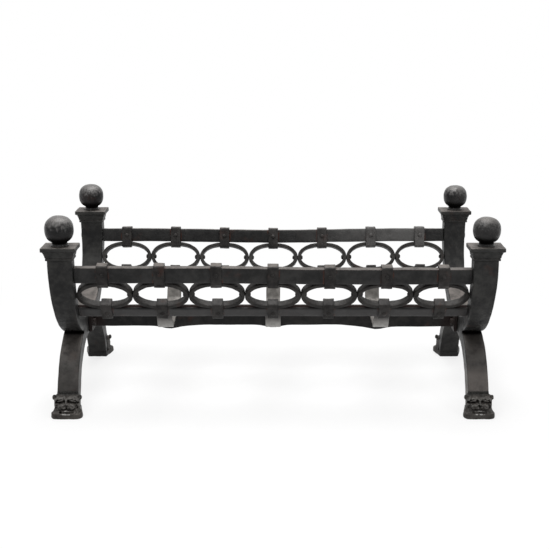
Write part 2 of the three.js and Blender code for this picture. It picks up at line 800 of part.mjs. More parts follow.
function addEnd(end, side) {
  const half = new THREE.Group();
  half.position.x = side * halfSpacing;
  half.rotation.z = side > 0 ? 0 : Math.PI;
  half.add(piece(`${end}_end_frame`, endFrame(), iron('#34332f', 0.55, 0.7)));
  group.add(half);
  for (const [edge, sign] of [
    ['front', -1],
    ['back', 1],
  ]) {
    const ball = piece(`${edge}_${end}_ball_finial`, finial(), iron('#2f3032', 0.42, 0.8));
    ball.position.set(side * halfSpacing, (sign * postSpacing) / 2, capitalTop);
    const foot = piece(`${edge}_${end}_lion_foot`, lionFoot(), iron('#4a4541', 0.6, 0.6));
    foot.position.x = side * halfSpacing;
    foot.rotation.z = sign < 0 ? 0 : Math.PI;
    group.add(ball, foot);
  }
}

// One long side: rings counted from the left, as seen from the front of the grate
function addSide(edge, turn) {
  const side = new THREE.Group();
  side.rotation.z = turn;
  const numberOf = (i) => (turn ? ringCount - i : i + 1);
  for (const [level, bar, bound] of [
    ['top', topRail, -1],
    ['bottom', bottomRail, 1],
  ]) {
    const frame = new THREE.Group();
    frame.position.set(0, bar.y, bar.z);
    frame.rotation.x = bar.tilt;
    frame.add(piece(`${edge}_${level}_rail`, rail(bar), iron('#33322f', 0.5, 0.75)));
    ringCentres.forEach((x, i) => {
      const strapped = bound > 0 && strapPositions.some((at) => Math.abs(at - x) < strapWidth / 2);
      const name = `${edge}_${level}_clip_${numberOf(i)}`;
      const band = piece(name, clip(bar, bound, strapped), iron('#3a3530', 0.6, 0.65));
      band.position.x = x;
      frame.add(band);
    });
    side.add(frame);
  }
  const row = new THREE.Group();
  row.position.set(0, ringRow.y, ringRow.z);
  row.rotation.x = ringRow.tilt;
  ringCentres.forEach((x, i) => {
    const hoop = piece(`${edge}_ring_${numberOf(i)}`, ring(i), iron('#38342f', 0.55, 0.7));
    hoop.position.x = x;
    row.add(hoop);
  });
  side.add(row);
  group.add(side);
}

addEnd('left', -1);
addEnd('right', 1);
addSide('front', 0);
addSide('back', Math.PI);
['left', 'middle', 'right'].forEach((place, i) => {
  const mesh = piece(`${place}_cross_strap`, strap(), iron('#3d3a37', 0.6, 0.6));
  mesh.position.x = strapPositions[i];
  group.add(mesh);
});
group.add(piece('stretcher', stretcher(), iron('#2c2b29', 0.6, 0.65)));

export default group;
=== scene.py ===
"""Looks of a wrought and cast iron log grate, built round its fixed frame.

Lengths are in millimetres until a mesh is made, and the meshes are in metres. X runs along
the grate, the front faces -Y and +Z is up. Every piece stands in the place of the node that
it is named after.
"""

from math import acos, asin, atan2, copysign, cos, hypot, pi, radians, sin, sqrt, tan

import bmesh
import bpy
import numpy as np
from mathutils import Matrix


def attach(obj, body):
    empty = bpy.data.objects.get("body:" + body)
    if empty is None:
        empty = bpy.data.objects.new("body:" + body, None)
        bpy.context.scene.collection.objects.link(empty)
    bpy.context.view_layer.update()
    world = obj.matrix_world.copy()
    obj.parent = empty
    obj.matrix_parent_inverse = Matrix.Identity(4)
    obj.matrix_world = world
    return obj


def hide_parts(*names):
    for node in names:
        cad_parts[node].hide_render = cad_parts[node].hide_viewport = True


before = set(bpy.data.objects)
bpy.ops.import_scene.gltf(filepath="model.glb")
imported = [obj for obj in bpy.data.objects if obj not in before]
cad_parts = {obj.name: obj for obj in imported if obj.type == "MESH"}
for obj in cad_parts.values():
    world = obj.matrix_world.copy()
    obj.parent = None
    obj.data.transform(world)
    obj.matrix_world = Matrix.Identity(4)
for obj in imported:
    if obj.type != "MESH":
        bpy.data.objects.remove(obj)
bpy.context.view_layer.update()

# ---- sizes

MM = 0.001
CLEARANCE = 0.3

FRAME_SPACING = 845.0
POST_SPACING = 364.0
BAR = 32.0
CORNER_RADIUS = 153.0
CROSSING_HEIGHT = 148.0
CROSSING_OVERLAP = 22.0
POST_TOP = 330.0
POST_WIDTH = 49.0
WAIST_WIDTH = 42.0
ANKLE_WIDTH = 43.0
CAPITAL_HEIGHT = 27.0
# overhang and height over the post's top, from foot to top
CAPITAL = (
    (1.9, -0.4), (2.9, 0.0), (2.9, 3.6), (2.0, 4.5), (3.4, 6.0),
    (4.1, 10.5), (6.6, 17.5), (10.25, 19.5), (10.25, 26.1), (9.35, 27.0),
)
BAR_EDGE = 1.8
CAPITAL_EDGE = 1.4
LEG_EASE = 35.0

BALL_DIAMETER = 55.6
BALL_HEIGHT = 53.0
BALL_TOP = 58.5
# radius and height over the capital's top, from the neck's foot to its waist
NECK = ((17.2, 1.2), (16.0, 2.4), (14.6, 5.0))
BALL_SQUARENESS = 0.81
BALL_FLATNESS = 0.86
# growth of the ball and contrast of the lion's face at each corner
CORNERS = {
    "front_left": (1.03, 1.0),
    "back_left": (1.0, 0.8),
    "front_right": (0.985, 0.7),
    "back_right": (0.96, 0.7),
}

PAD_THICKNESS = 12.0
PAD_OUTER_Y = 217.0
PAD_INNER_Y = 163.0
PAD_FRONT_WIDTH = 64.5
PAD_BACK_WIDTH = 44.0
PAD_CORNER = 12.5
# height and inset of the pad's outline, from the ground up
PAD_LEVELS = (
    (0.0, 2.0), (0.6, 0.9), (1.6, 0.2), (2.6, 0.0), (9.4, 0.0), (10.8, 0.5), (11.7, 1.3), (12.0, 2.4),
)
MASK_TOP = 48.5
MASK_PLANE = 199.0
MASK_BACK = 181.0
EAR_HEIGHT = 10.4
EAR_THICKNESS = 7.2
EAR_PLACE = (26.6, -195.0, 40.2)
VOXEL = 0.5
SWELLING = "swelling"

TENON_HEAD_RADIUS = 8.5
TENON_HEAD_HEIGHT = 1.2
TENON_RADIUS = 5.0

RING_COUNT = 7
RING_END_GAP = 0.6
RING_BAND = 7.5
RING_WIDTH = 16.0
RING_BLUNTNESS = 0.84
RING_STUD_OUTSET = 3.0
RING_STUD_COLLAR = 6.0

CLIP_WIDTH = 22.0
CLIP_THICKNESS = 4.2
CLIP_LIP = 7.0
RIVET_RADIUS = 3.0
RIVET_HEAD_RADIUS = 4.75
RIVET_HEAD_HEIGHT = 3.0
RIVET_SINK = 0.5
RIVET_SIDES = 20
LINK_HEAD_RADIUS = 5.3
LINK_HEAD_HEIGHT = 3.8

BACK_TOP_SAG = 3.7
BACK_TOP_SAG_REACH = 300.0
BACK_LOW_SAG = 2.6
BACK_LOW_SAG_ENDS = (180.0, 330.0)
FRONT_LEAN_REACH = 130.0

STRAP_RINGS = (-2, 0, 2)
STRAP_WIDTH = 32.0
STRAP_THICKNESS = 5.0
STRAP_LAP = 7.0
STRAP_BEND = 16.0
STRAP_SAG = 4.5
STRAP_REST = 16.0
STRETCHER_WIDTH = 26.0
STRETCHER_DEPTH = 22.0
STRETCHER_SWELL = 0.55
STRETCHER_SWELL_REACH = 21.0
# of the left half and of the right half, and the distances from the middle where it grows
STRETCHER_SAG = (2.4, 4.4)
STRETCHER_SAG_ENDS = (140.0, 210.0)
FLANGE_THICKNESS = 7.0
FLANGE_WIDTH = 74.0
FLANGE_HEIGHT = 38.0
BOLT_SPACING = 52.0
BOLT_HEAD_RADIUS = 8.5
BOLT_HEAD_HEIGHT = 7.0

# depth and size of the hammering, and the least angle in degrees of an edge that stays sharp
SURFACE = {
    "cast_frame_iron": (0.38, 30.0, 34),
    "ball_iron": (0.30, 17.0, 40),
    "lion_foot_iron": (0.26, 6.0, 60),
    "rail_iron": (0.32, 26.0, 38),
    "clip_iron": (0.30, 9.0, 38),
    "ring_iron": (0.34, 12.0, 38),
    "strap_iron": (0.3, 20.0, 38),
    "stretcher_iron": (0.4, 40.0, 38),
}

# ---- sizes that follow

HALF_SPACING = FRAME_SPACING / 2
OUTER_RADIUS = CORNER_RADIUS + BAR / 2
CORNER_Y = POST_SPACING / 2 - CORNER_RADIUS
U_CENTRE_Z = CROSSING_HEIGHT + OUTER_RADIUS - CROSSING_OVERLAP / 2
ARCH_CENTRE_Z = CROSSING_HEIGHT - OUTER_RADIUS + CROSSING_OVERLAP / 2
LEG_BOTTOM = PAD_THICKNESS + CLEARANCE
CAPITAL_TOP = POST_TOP + CAPITAL_HEIGHT


def frame_width(z):
    return float(np.interp(z, (0, CROSSING_HEIGHT, U_CENTRE_Z), (ANKLE_WIDTH, WAIST_WIDTH, POST_WIDTH)))


def rotated(a, b, angle):
    c, s = cos(angle), sin(angle)
    return a * c - b * s, a * s + b * c


class Rail:
    """A rail on the front side; the outset is from the middle of the U's bar, and the tilt in degrees"""

    def __init__(self, z, outset, tilt, depth, thickness):
        radius = CORNER_RADIUS + outset
        self.y = -CORNER_Y - sqrt(radius**2 - max(U_CENTRE_Z - z, 0) ** 2)
        self.z = z
        self.tilt = radians(tilt)
        self.depth = depth
        self.thickness = thickness

    def outward(self, y, z):
        """A point of the rail's own frame as (Y, Z) of the grate"""
        return np.array([self.y, self.z]) + rotated(y, z, self.tilt)


TOP_RAIL = Rail(z=POST_TOP - 33.0, outset=-3.5, tilt=8, depth=29.5, thickness=15.5)
BOTTOM_RAIL = Rail(z=209.6, outset=-7.0, tilt=28, depth=23.0, thickness=13.0)


class RingRow:
    """The row of rings between the two rails of the front side"""

    def __init__(self):
        upper = TOP_RAIL.outward(0, -TOP_RAIL.depth / 2)
        lower = BOTTOM_RAIL.outward(0, BOTTOM_RAIL.depth / 2)
        across, up = upper - lower
        length = hypot(across, up)
        self.tilt = atan2(-across, up)
        top = length / 2 - self.wedge(TOP_RAIL)
        bottom = -length / 2 + self.wedge(BOTTOM_RAIL)
        self.y, self.z = (upper + lower) / 2 + rotated(0, (top + bottom) / 2, self.tilt)
        self.half_height = (top - bottom) / 2

    def wedge(self, rail):
        return RING_WIDTH / 2 * tan(abs(rail.tilt - self.tilt)) + CLEARANCE


RINGS = RingRow()
POST_FACE = HALF_SPACING - frame_width(RINGS.z + RING_STUD_COLLAR + RING_STUD_OUTSET) / 2 - CLEARANCE
RING_PITCH = (2 * (POST_FACE - RING_END_GAP) + CLEARANCE) / RING_COUNT
RING_XS = [(i - (RING_COUNT - 1) / 2) * RING_PITCH for i in range(RING_COUNT)]
STRAP_PLACES = [k * RING_PITCH for k in STRAP_RINGS]
RING_HALF_LENGTH = (RING_PITCH - CLEARANCE) / 2
RING_INNER_HALF_LENGTH = RING_HALF_LENGTH - RING_BAND
RING_RIVET_SEAT = RING_INNER_HALF_LENGTH - 0.7

# ---- shells


def smooth(t):
    """Eased step from 0 to 1"""
    t = np.clip(t, 0, 1)
    return t * t * (3 - 2 * t)


def arc_points(centre, radii, start, end, count=9):
    angles = np.radians(np.linspace(start, end, count))
    return [(centre[0] + radii[0] * cos(a), centre[1] + radii[1] * sin(a)) for a in angles]


def rounded_rect(width, height, radius, steps, cuts):
    """Points round a rectangle with round corners, and cuts along its sides"""
    w, h = width / 2 - radius, height / 2 - radius
    corners = np.array([(w, h), (-w, h), (-w, -h), (w, -h)])
    points = []
    for k, (corner, side) in enumerate(zip(corners, np.roll(corners, -1, 0) - corners)):
        points += arc_points(corner, (radius, radius), 90 * k, 90 * k + 90, steps + 1)
        points += [points[-1] + side * s / cuts[k % 2] for s in range(1, cuts[k % 2])]
    return np.array(points)


def loft(rings, closed=False):
    """Skin over equal rings of points, with its ends shut unless it runs back to its start"""
    rings = np.asarray(rings, float)
    count, size, _ = rings.shape
    faces = []
    for i in range(count if closed else count - 1):
        a, b = i * size, (i + 1) % count * size
        faces += [(a + j, a + (j + 1) % size, b + (j + 1) % size, b + j) for j in range(size)]
    if not closed:
        faces += [tuple(range(size))[::-1], tuple(range((count - 1) * size, count * size))]
    return rings.reshape(-1, 3), faces


def turned(profile, segments):
    """Solid turned about Z; profile points are (radius, height) from axis to axis"""
    verts, faces, last = [], [], None
    for radius, z in profile:
        count = segments if radius > 1e-6 else 1
        row = [len(verts) + k % count for k in range(segments)]
        angles = [2 * pi * k / count for k in range(count)]
        verts += [(radius * cos(a), radius * sin(a), z) for a in angles]
        if last:
            corners = zip(last, last[1:] + last[:1], row[1:] + row[:1], row)
            faces += [tuple(dict.fromkeys(corner)) for corner in corners]
        last = row
    return np.array(verts), faces


def moved(shell, offset=(0, 0, 0), tilt=0.0, turn=0.0):
    """Shell tilted about X, then moved, then turned about Z"""
    x, y, z = shell[0].T
    y, z = rotated(y, z, tilt)
    x, y = rotated(x + offset[0], y + offset[1], turn)
    return np.stack([x, y, z + offset[2]], 1), shell[1]


def along_x(shell):
    return shell[0][:, [2, 0, 1]], shell[1]


def along_y(shell):
    return shell[0][:, [0, 2, 1]] * (-1, 1, 1), shell[1]


def mirrored_x(shell):
    return shell[0] * (-1, 1, 1), [face[::-1] for face in shell[1]]


def unit(v):
    return v / np.hypot(*v)


def bent_bar(path, width, thickness, radius, cuts, closed=False, end_chamfer=0.8):
    """Flat bar of even thickness along a line in (Y, Z); its width lies along X"""
    path = np.asarray(path, float)
    if not closed:
        inner = [path[i] + unit(path[j] - path[i]) * end_chamfer for i, j in ((0, 1), (-1, -2))]
        path = np.concatenate([path[:1], inner[:1], path[1:-1], inner[1:], path[-1:]])
    before, after = np.roll(path, 1, 0), np.roll(path, -1, 0)
    if not closed:
        before[0], after[-1] = path[0], path[-1]
    along, up = unit((after - before).T)
    normal = np.stack([-up, along], 1)
    section = rounded_rect(width, thickness, radius, 2, cuts)
    small = section * (1 - 2 * end_chamfer / width, 1 - 2 * end_chamfer / thickness)
    rings = []
    for i, (point, n) in enumerate(zip(path, normal)):
        shape = small if not closed and i in (0, len(path) - 1) else section
        rings.append(np.column_stack([shape[:, 0], point + shape[:, 1:] * n]))
    return loft(rings, closed)


def straight_bar(start, end, width, height, radius):
    """Bar along X with its section in (Y, Z), cut about every 12 mm"""
    count = max(int((end - start) / 12), 1)
    inner = np.linspace(start, end, count + 1)[1:-1]
    section, small = [rounded_rect(width - cut, height - cut, radius, 2, (3, 4)) for cut in (0, 1.4)]
    xs = [start, start + 0.8, *inner, end - 0.8, end]
    shapes = [small, *[section] * (len(xs) - 2), small]
    return loft([np.column_stack([np.full(len(s), x), s]) for x, s in zip(xs, shapes)])


def dome(seat, sign, radius=RIVET_HEAD_RADIUS, height=RIVET_HEAD_HEIGHT, sides=RIVET_SIDES):
    """Rivet head on the Z axis, beyond a seat; sign is 1 above the seat and -1 below it"""
    base = seat - sign * 0.6
    side = [(radius * cos(a) ** 0.8, seat + sign * height * sin(a)) for a in np.linspace(0, pi / 2, 6)[:-1]]
    return turned([(0.0, base), (radius, base), *side, (0.0, seat + sign * height)], sides)


def shank(radius, low, high):
    return turned([(0.0, low), (radius, low), (radius, high), (0.0, high)], RIVET_SIDES)


# ---- meshes


def waves(points, size, seed, count=10):
    """Smooth random field of about -1 to 1, with bumps of about the given size"""
    rng = np.random.default_rng(seed)
    direction = rng.normal(size=(count, 3))
    direction /= np.linalg.norm(direction, axis=1, keepdims=True)
    pitch = size * rng.uniform(1.4, 3.2, count)
    phase = rng.uniform(0, 2 * pi, count)
    return np.sin(points @ (direction * (2 * pi / pitch)[:, None]).T + phase).sum(1) / sqrt(count)


def mesh_of(name, shells):
    """One mesh in metres from shells in millimetres, its faces pointing out"""
    verts, faces, start = [], [], 0
    for points, polygons in shells:
        verts.append(points)
        faces += [tuple(i + start for i in polygon) for polygon in polygons]
        start += len(points)
    mesh = bpy.data.meshes.new(name)
    mesh.from_pydata((np.concatenate(verts) * MM).tolist(), [], faces)
    bm = bmesh.new()
    bm.from_mesh(mesh)
    bmesh.ops.recalc_face_normals(bm, faces=bm.faces)
    bm.to_mesh(mesh)
    bm.free()
    return mesh


def object_of(name, data):
    obj = bpy.data.objects.new(name, data)
    bpy.context.scene.collection.objects.link(obj)
    return obj


def applied(obj, kind, **settings):
    """Mesh of an object after a modifier; the object goes"""
    modifier = obj.modifiers.new("change", kind)
    for key, value in settings.items():
        setattr(modifier, key, value)
    mesh = bpy.data.meshes.new_from_object(obj.evaluated_get(bpy.context.evaluated_depsgraph_get()))
    bpy.data.objects.remove(obj)
    return mesh


def points_of(mesh):
    """A mesh's points in millimetres"""
    co = np.empty(len(mesh.vertices) * 3)
    mesh.vertices.foreach_get("co", co)
    return co.reshape(-1, 3) / MM


def reshaped(mesh, change):
    """Mesh whose points, in millimetres, are what the change makes of them"""
    mesh.vertices.foreach_set("co", (change(points_of(mesh)) * MM).ravel())
    return mesh


def hammer(mesh, depth, size, seed):
    """Hand-worked surface: every point moves along its normal"""
    normals = np.empty(len(mesh.vertices) * 3)
    mesh.vertex_normals.foreach_get("vector", normals)

    def change(points):
        field = 0.65 * waves(points, size, seed) + 0.35 * waves(points, size / 3, seed + 1)
        return points + normals.reshape(-1, 3) * (field * depth)[:, None]

    reshaped(mesh, change).update()


def dress(node, mesh, slot, seed):
    """Puts a finished mesh in the place of a node"""
    depth, size, sharp = SURFACE[slot]
    hammer(mesh, depth, size, seed)
    mesh.polygons.foreach_set("use_smooth", [True] * len(mesh.polygons))
    mesh.set_sharp_from_angle(angle=radians(sharp))
    mesh.materials.clear()
    mesh.materials.append(MATERIALS[slot])
    piece = object_of(f"dressed_{node}", mesh)
    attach(piece, "root")
    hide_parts(node)


# ---- materials

# painted shade: the dead black and roughness painted where shade falls, in the frames' wedges, round the
# finials' necks and in the lion's hollows
PAINTED_SHADE_BLACK = (0.0025, 0.002, 0.002)
PAINTED_SHADE_ROUGHNESS = 0.95
SPECULAR = 0.2
# painted shade for the hollows of every iron piece
PAINTED_HOLLOW_SHADE = (0.004, 0.0035, 0.003)
# painted shade on the legs of the end frames
PAINTED_LEG_SHADE = (0.005, 0.0042, 0.0036)
ASH = (0.30, 0.268, 0.246)
WORN_EDGE = (0.10, 0.097, 0.092)
RUST = (0.070, 0.026, 0.017)
SEAM_RUST = (0.055, 0.021, 0.014)
SHELF_RUST = (0.012, 0.0055, 0.0045)
FLANGE_RUST = (0.010, 0.0052, 0.0042)
# painted light from the white floor on faces that look down
PAINTED_FLOOR_LIGHT = (0.062, 0.060, 0.060)
# painted reflection of a lamp on the right of the back rail
PAINTED_RAIL_REFLECTION = (0.088, 0.086, 0.084)
# painted reflection on the right-hand clips of the back top rail
PAINTED_CLIP_REFLECTION = (0.078, 0.075, 0.073)
PALE_LOWER_LEG = (0.098, 0.087, 0.080)
# bare metal streaks together with a painted highlight on the balls' tops
BARE_AND_HIGHLIT_BALL = (0.125, 0.121, 0.118)
STRAP_SHADE = (0.056, 0.052, 0.050)
# painted reflection of the white floor on the straps' undersides
STRAP_FLOOR_REFLECTION = (0.28, 0.272, 0.26)
WORN_FACE = (0.115, 0.110, 0.104)
DARK_HEEL = (0.013, 0.0125, 0.012)
MASK_CROWN = (0.022, 0.0212, 0.020)
# painted highlight on the worn lip and toe of the lion
PAINTED_WEAR_HIGHLIGHT = (0.36, 0.355, 0.345)
# rise of the normals on the tops of the lower rails, which lean
SHELF_NORMAL_Z = 0.88
# height, half length, thickness and least distance from the middle of the painted highlights on the worn toe
# and lip
TOE_HIGHLIGHT = (10.8, 10.0, 1.1, 214.0)
LIP_HIGHLIGHT = (15.6, 4.6, 1.2, 209.5)


def operation(name):
    """Method that adds a math node"""
    return lambda self, *others: self.graph.math(name, self, *others)


class Field:
    """A value in a node graph; arithmetic on it adds nodes"""

    def __init__(self, graph, socket):
        self.graph = graph
        self.socket = socket

    __add__, __sub__ = operation("ADD"), operation("SUBTRACT")
    __mul__, __truediv__ = operation("MULTIPLY"), operation("DIVIDE")
    __abs__, at_least = operation("ABSOLUTE"), operation("MAXIMUM")


class Graph:
    """The nodes of a material or a world"""

    def __init__(self, owner):
        owner.use_nodes = True
        self.nodes = owner.node_tree.nodes
        self.links = owner.node_tree.links

    def wire(self, value, socket):
        """Links a value to a socket, or sets the socket to it; colours have three numbers"""
        if isinstance(value, Field):
            value = value.socket
        if isinstance(value, bpy.types.NodeSocket):
            self.links.new(value, socket)
        elif socket.type == "RGBA":
            socket.default_value = (*value, 1)
        else:
            socket.default_value = value

    def node(self, kind, inputs, **settings):
        """New node with the given settings and with its inputs, by name or number"""
        node = self.nodes.new(f"ShaderNode{kind}")
        for key, value in settings.items():
            setattr(node, key, value)
        return self.fill(node, inputs)

    def fill(self, node, inputs):
        for key, value in inputs.items():
            self.wire(value, node.inputs[key])
        return node

    def math(self, operation, *values):
        return Field(self, self.node("Math", dict(enumerate(values)), operation=operation).outputs[0])

    def span(self, value, low, high, to_low=0.0, to_high=1.0):
        """Eased step from to_low to to_high while the value runs from low to high"""
        inputs = {"Value": value, "From Min": low, "From Max": high, "To Min": to_low, "To Max": to_high}
        return Field(self, self.node("MapRange", inputs, interpolation_type="SMOOTHSTEP").outputs["Result"])


class Iron(Graph):
    """A material's graph; colour, metallic and rough are what its shader gets"""

    def __init__(self, name):
        self.material = bpy.data.materials.new(name)
        super().__init__(self.material)
        self.metres = self.node("TexCoord", {}).outputs["Object"]
        self.place = [axis / MM for axis in self.split(self.metres)]
        geometry = self.node("NewGeometry", {})
        self.normal_z = self.split(geometry.outputs["Normal"])[2]
        self.pointiness = Field(self, geometry.outputs["Pointiness"])

    def split(self, vector):
        return [Field(self, axis) for axis in self.node("SeparateXYZ", {0: vector}).outputs]

    def noise_along(self, vector, scale, detail, roughness):
        inputs = {"Vector": vector, "Scale": scale, "Detail": detail, "Roughness": roughness}
        return Field(self, self.node("TexNoise", inputs).outputs["Fac"])

    def noise(self, scale, offset, detail=4, roughness=0.6):
        """Noise in space, with features of about one metre over the scale"""
        inputs = {0: self.metres, 1: (offset, offset * 0.7, -offset)}
        shifted = self.node("VectorMath", inputs, operation="ADD").outputs[0]
        return self.noise_along(shifted, scale, detail, roughness)

    def mix(self, mask, a, b):
        return self.node("Mix", {0: mask, 6: a, 7: b}, data_type="RGBA").outputs[2]

    def tint(self, mask, colour):
        self.colour = self.mix(mask, self.colour, colour)

    def paint_shade(self, mask):
        """Painted shade: dead black under the mask, without gloss"""
        self.tint(mask, PAINTED_SHADE_BLACK)
        self.metallic = self.metallic.at_least(mask)
        self.rough = self.rough.at_least(mask * PAINTED_SHADE_ROUGHNESS)

    def finish(self, relief):
        """Wires the shader; the relief lists bump heights and their depths in metres"""
        inputs = {}
        for height, depth in relief:
            bump = self.node("Bump", {**inputs, "Height": height, "Distance": depth})
            inputs = {"Normal": bump.outputs["Normal"]}
        inputs |= {"Base Color": self.colour, "Metallic": self.metallic, "Roughness": self.rough}
        self.fill(self.nodes["Principled BSDF"], {**inputs, "Specular IOR Level": SPECULAR})


def iron(name, dark, light, dust, rust, roughness, offset, metallic=0.25, grain=1.2, settle=0.6, extra=None):
    """Blackened iron: mottled tone, ash on what faces up, rust in patches, worn edges, painted shade in the
    hollows

    Dust settles where the normal rises above settle. The extra step may change the colour,
    the metallic share and the roughness before they reach the shader.
    """
    g = Iron(name)
    mottle = g.noise(65, offset, 6)
    patches = g.noise(17, offset + 3, 3, 0.5)
    fine = g.noise(620, offset + 7, 3)
    tone = mottle * 0.6 + patches * 0.4
    g.colour = g.mix(g.span(tone, 0.36, 0.66), dark, light)
    g.tint(g.span(g.pointiness, 0.53, 0.64, 0, 0.35), WORN_EDGE)

    rust_patches = g.span(g.noise(24, offset + 11, 5, 0.62), 0.58, 0.72)
    rust_mask = rust_patches * g.span(fine, 0.35, 0.6, 0.4, 1) * rust
    g.tint(rust_mask, RUST)
    dust_mask = g.span(g.normal_z, settle, 1.0) * g.span(mottle, 0.25, 0.6, 0.45, 1) * dust
    g.tint(dust_mask, ASH)

    # painted shade: hollows found by pointiness are darkened and made metallic, so they lose their gloss
    hollow = g.span(g.pointiness, 0.485, 0.42)
    g.tint(hollow * 0.85, PAINTED_HOLLOW_SHADE)
    g.metallic = (hollow * 0.9).at_least(metallic)
    g.rough = g.span(tone, 0.3, 0.7, roughness + 0.08, roughness - 0.08) + (dust_mask + rust_mask) * 0.25
    if extra:
        extra(g)
    g.finish([(mottle, 0.0012 * grain), (fine, 0.00035 * grain)])
    return g.material


def frame_shade_and_pale_feet(g):
    """Painted shade on the front legs below the joint and on the back legs, front legs paler towards the
    feet, painted black shadow in the wedges
    """
    x, y, z = g.place
    below_joint = g.span(z, 150, 146)
    front = g.span(y, -88, -100) * below_joint
    back = g.span(y, 88, 100) * below_joint
    # painted shade: the front legs darken up to the joint under the U, and the back legs darken all over
    dark = g.span(z, 98, 142) * g.span(x, -100, 100, 0.45, 0.72)
    g.tint(dark * front, PAINTED_LEG_SHADE)
    g.tint(back * 0.3, PAINTED_LEG_SHADE)
    # the front legs are paler towards the feet
    pale = g.span(z, 104, 76) * g.span(x, -100, 100, 0.28, 0.84)
    g.tint(pale * g.span(g.noise(55, 67.0), 0.3, 0.6, 0.7, 1) * front, PALE_LOWER_LEG)

    # painted shadow: dead black in the wedge where the U and the arch part
    wedge = g.span(abs(y), CORNER_Y + 55, CORNER_Y + 63)
    for centre in (U_CENTRE_Z, ARCH_CENTRE_Z):
        across, up = abs(y) - CORNER_Y, z - centre
        distance = abs(g.math("SQRT", across * across + up * up) - OUTER_RADIUS)
        wedge = wedge * g.span(distance, 11, 4)
    g.paint_shade(wedge)


def streaked_and_shaded_ball(g):
    """Painted shade, dead black, round the finial's neck; streaks of bare metal that run down from its top,
    with a painted highlight that grows towards the top
    """
    x, y, z = g.place
    turned_about = g.math("ARCTAN2", abs(y) - POST_SPACING / 2, abs(x) - HALF_SPACING)
    streak = g.node("CombineXYZ", {0: turned_about, 1: z * 0.026, 2: x * MM}).outputs[0]
    # painted highlight: the bare streaks grow towards the ball's top, so the top is lighter
    height = g.span(z, CAPITAL_TOP + 24, CAPITAL_TOP + 57) * 0.42
    bare_and_highlit = g.span(g.noise_along(streak, 5.2, 5.0, 0.62) + height, 0.60, 1.02)
    but_front_right = g.span(x, 100, -100).at_least(g.span(y, -100, 100, 0.55, 1))
    g.tint(bare_and_highlit * but_front_right, BARE_AND_HIGHLIT_BALL)
    # painted shade round the neck, under the ball
    neck = g.span(z, CAPITAL_TOP + 27, CAPITAL_TOP + 13, 0, 0.92)
    g.paint_shade(neck * g.span(z, CAPITAL_TOP + 3, CAPITAL_TOP + 6.5))


def rail_rust_and_painted_light(g):
    """Rust beside the clips and on the lower rails' tops, painted light from the floor on the undersides, a
    painted reflection on the back rail's right
    """
    x, y, _ = g.place
    beat = g.math("PINGPONG", abs(x), RING_PITCH / 2)
    seam = g.span(abs(beat - (CLIP_WIDTH / 2 + 1.6)), 2.2, 0.6, 0, 0.8)
    g.tint(seam * g.span(g.noise(45, 41.0, 3), 0.46, 0.62), SEAM_RUST)
    shelf = g.span(abs(g.normal_z - SHELF_NORMAL_Z), 0.07, 0.03)
    g.tint(shelf, SHELF_RUST)
    g.rough = g.rough.at_least(shelf * 0.85)
    # painted light: faces that look down are lightened as if lit from the floor
    g.tint(g.span(g.normal_z, -0.25, -0.45, 0, 0.5), PAINTED_FLOOR_LIGHT)
    # painted reflection: the back rail is lighter towards the right
    rail_reflection = g.span(x, 0, 250) * g.span(x, 352, 336) * g.span(y, -10, 10)
    g.tint(rail_reflection * g.span(g.noise(38, 53.0), 0.3, 0.6, 0.6, 1), PAINTED_RAIL_REFLECTION)


def clips_with_painted_reflection(g):
    """Painted reflection, pale, on the right-hand clips of the back top rail"""
    x, y, z = g.place
    pale = g.span(x, 50, 240) * g.span(y, -10, 10) * g.span(z, 240, 260)
    g.tint(pale * g.span(g.noise(70, 59.0), 0.3, 0.6, 0.6, 1), PAINTED_CLIP_REFLECTION)


def strap_underside_light(g):
    """Underside of the straps: painted shade at the rail and a painted reflection of the floor at the bend"""
    grit = g.span(g.noise(150, 61.0), 0.3, 0.65, 0.75, 1)
    # painted shade near the rail turning to a painted floor reflection lower down
    below = g.mix(g.span(g.place[2], 190, 164) * grit, STRAP_SHADE, STRAP_FLOOR_REFLECTION)
    g.tint(g.span(g.normal_z, 0.0, -0.3), below)


def rusty_ends(g):
    """Rust on the stretcher's flanges and bolts"""
    g.tint(g.span(abs(g.place[0]), HALF_SPACING - 62, HALF_SPACING - 42, 0, 0.85), FLANGE_RUST)


def mask_wear_and_painted_light(g):
    """Painted shade, dead black, in the hollows of the lion's face; wear on its swellings; painted highlights
    on the worn lip and toe
    """
    swelling = Field(g, g.node("Attribute", {}, attribute_name=SWELLING).outputs["Fac"])
    grit = g.span(g.noise(420, 47.0, 3), 0.35, 0.65, 0.6, 1.0)
    g.tint(g.span(swelling, 0.55, 0.80) * grit * 0.75, WORN_FACE)
    broken = g.span(g.noise(190, 57.0, 3), 0.36, 0.6, 0.3, 0.95)
    # painted shade: the face's recesses turn dead black
    g.paint_shade(g.span(swelling, 0.45, 0.12) * broken)

    x, y, z = g.place
    g.tint(g.span(abs(y), 182, 173), DARK_HEEL)
    g.tint(g.span(z, MASK_TOP - 7, MASK_TOP - 2), MASK_CROWN)
    across = abs(x) - HALF_SPACING
    patches = []
    for height, reach, thick, near in (TOE_HIGHLIGHT, LIP_HIGHLIGHT):
        u, v = across / reach, (z - height) / thick
        patches.append(g.span(u * u + v * v, 1.6, 0.4) * g.span(abs(y), near - 1, near))
    # painted highlights on the worn toe and lower lip
    lip_and_toe_highlight = patches[0].at_least(patches[1])
    g.tint(lip_and_toe_highlight * g.span(g.noise(240, 43.0, 2, 0.5), 0.35, 0.6), PAINTED_WEAR_HIGHLIGHT)


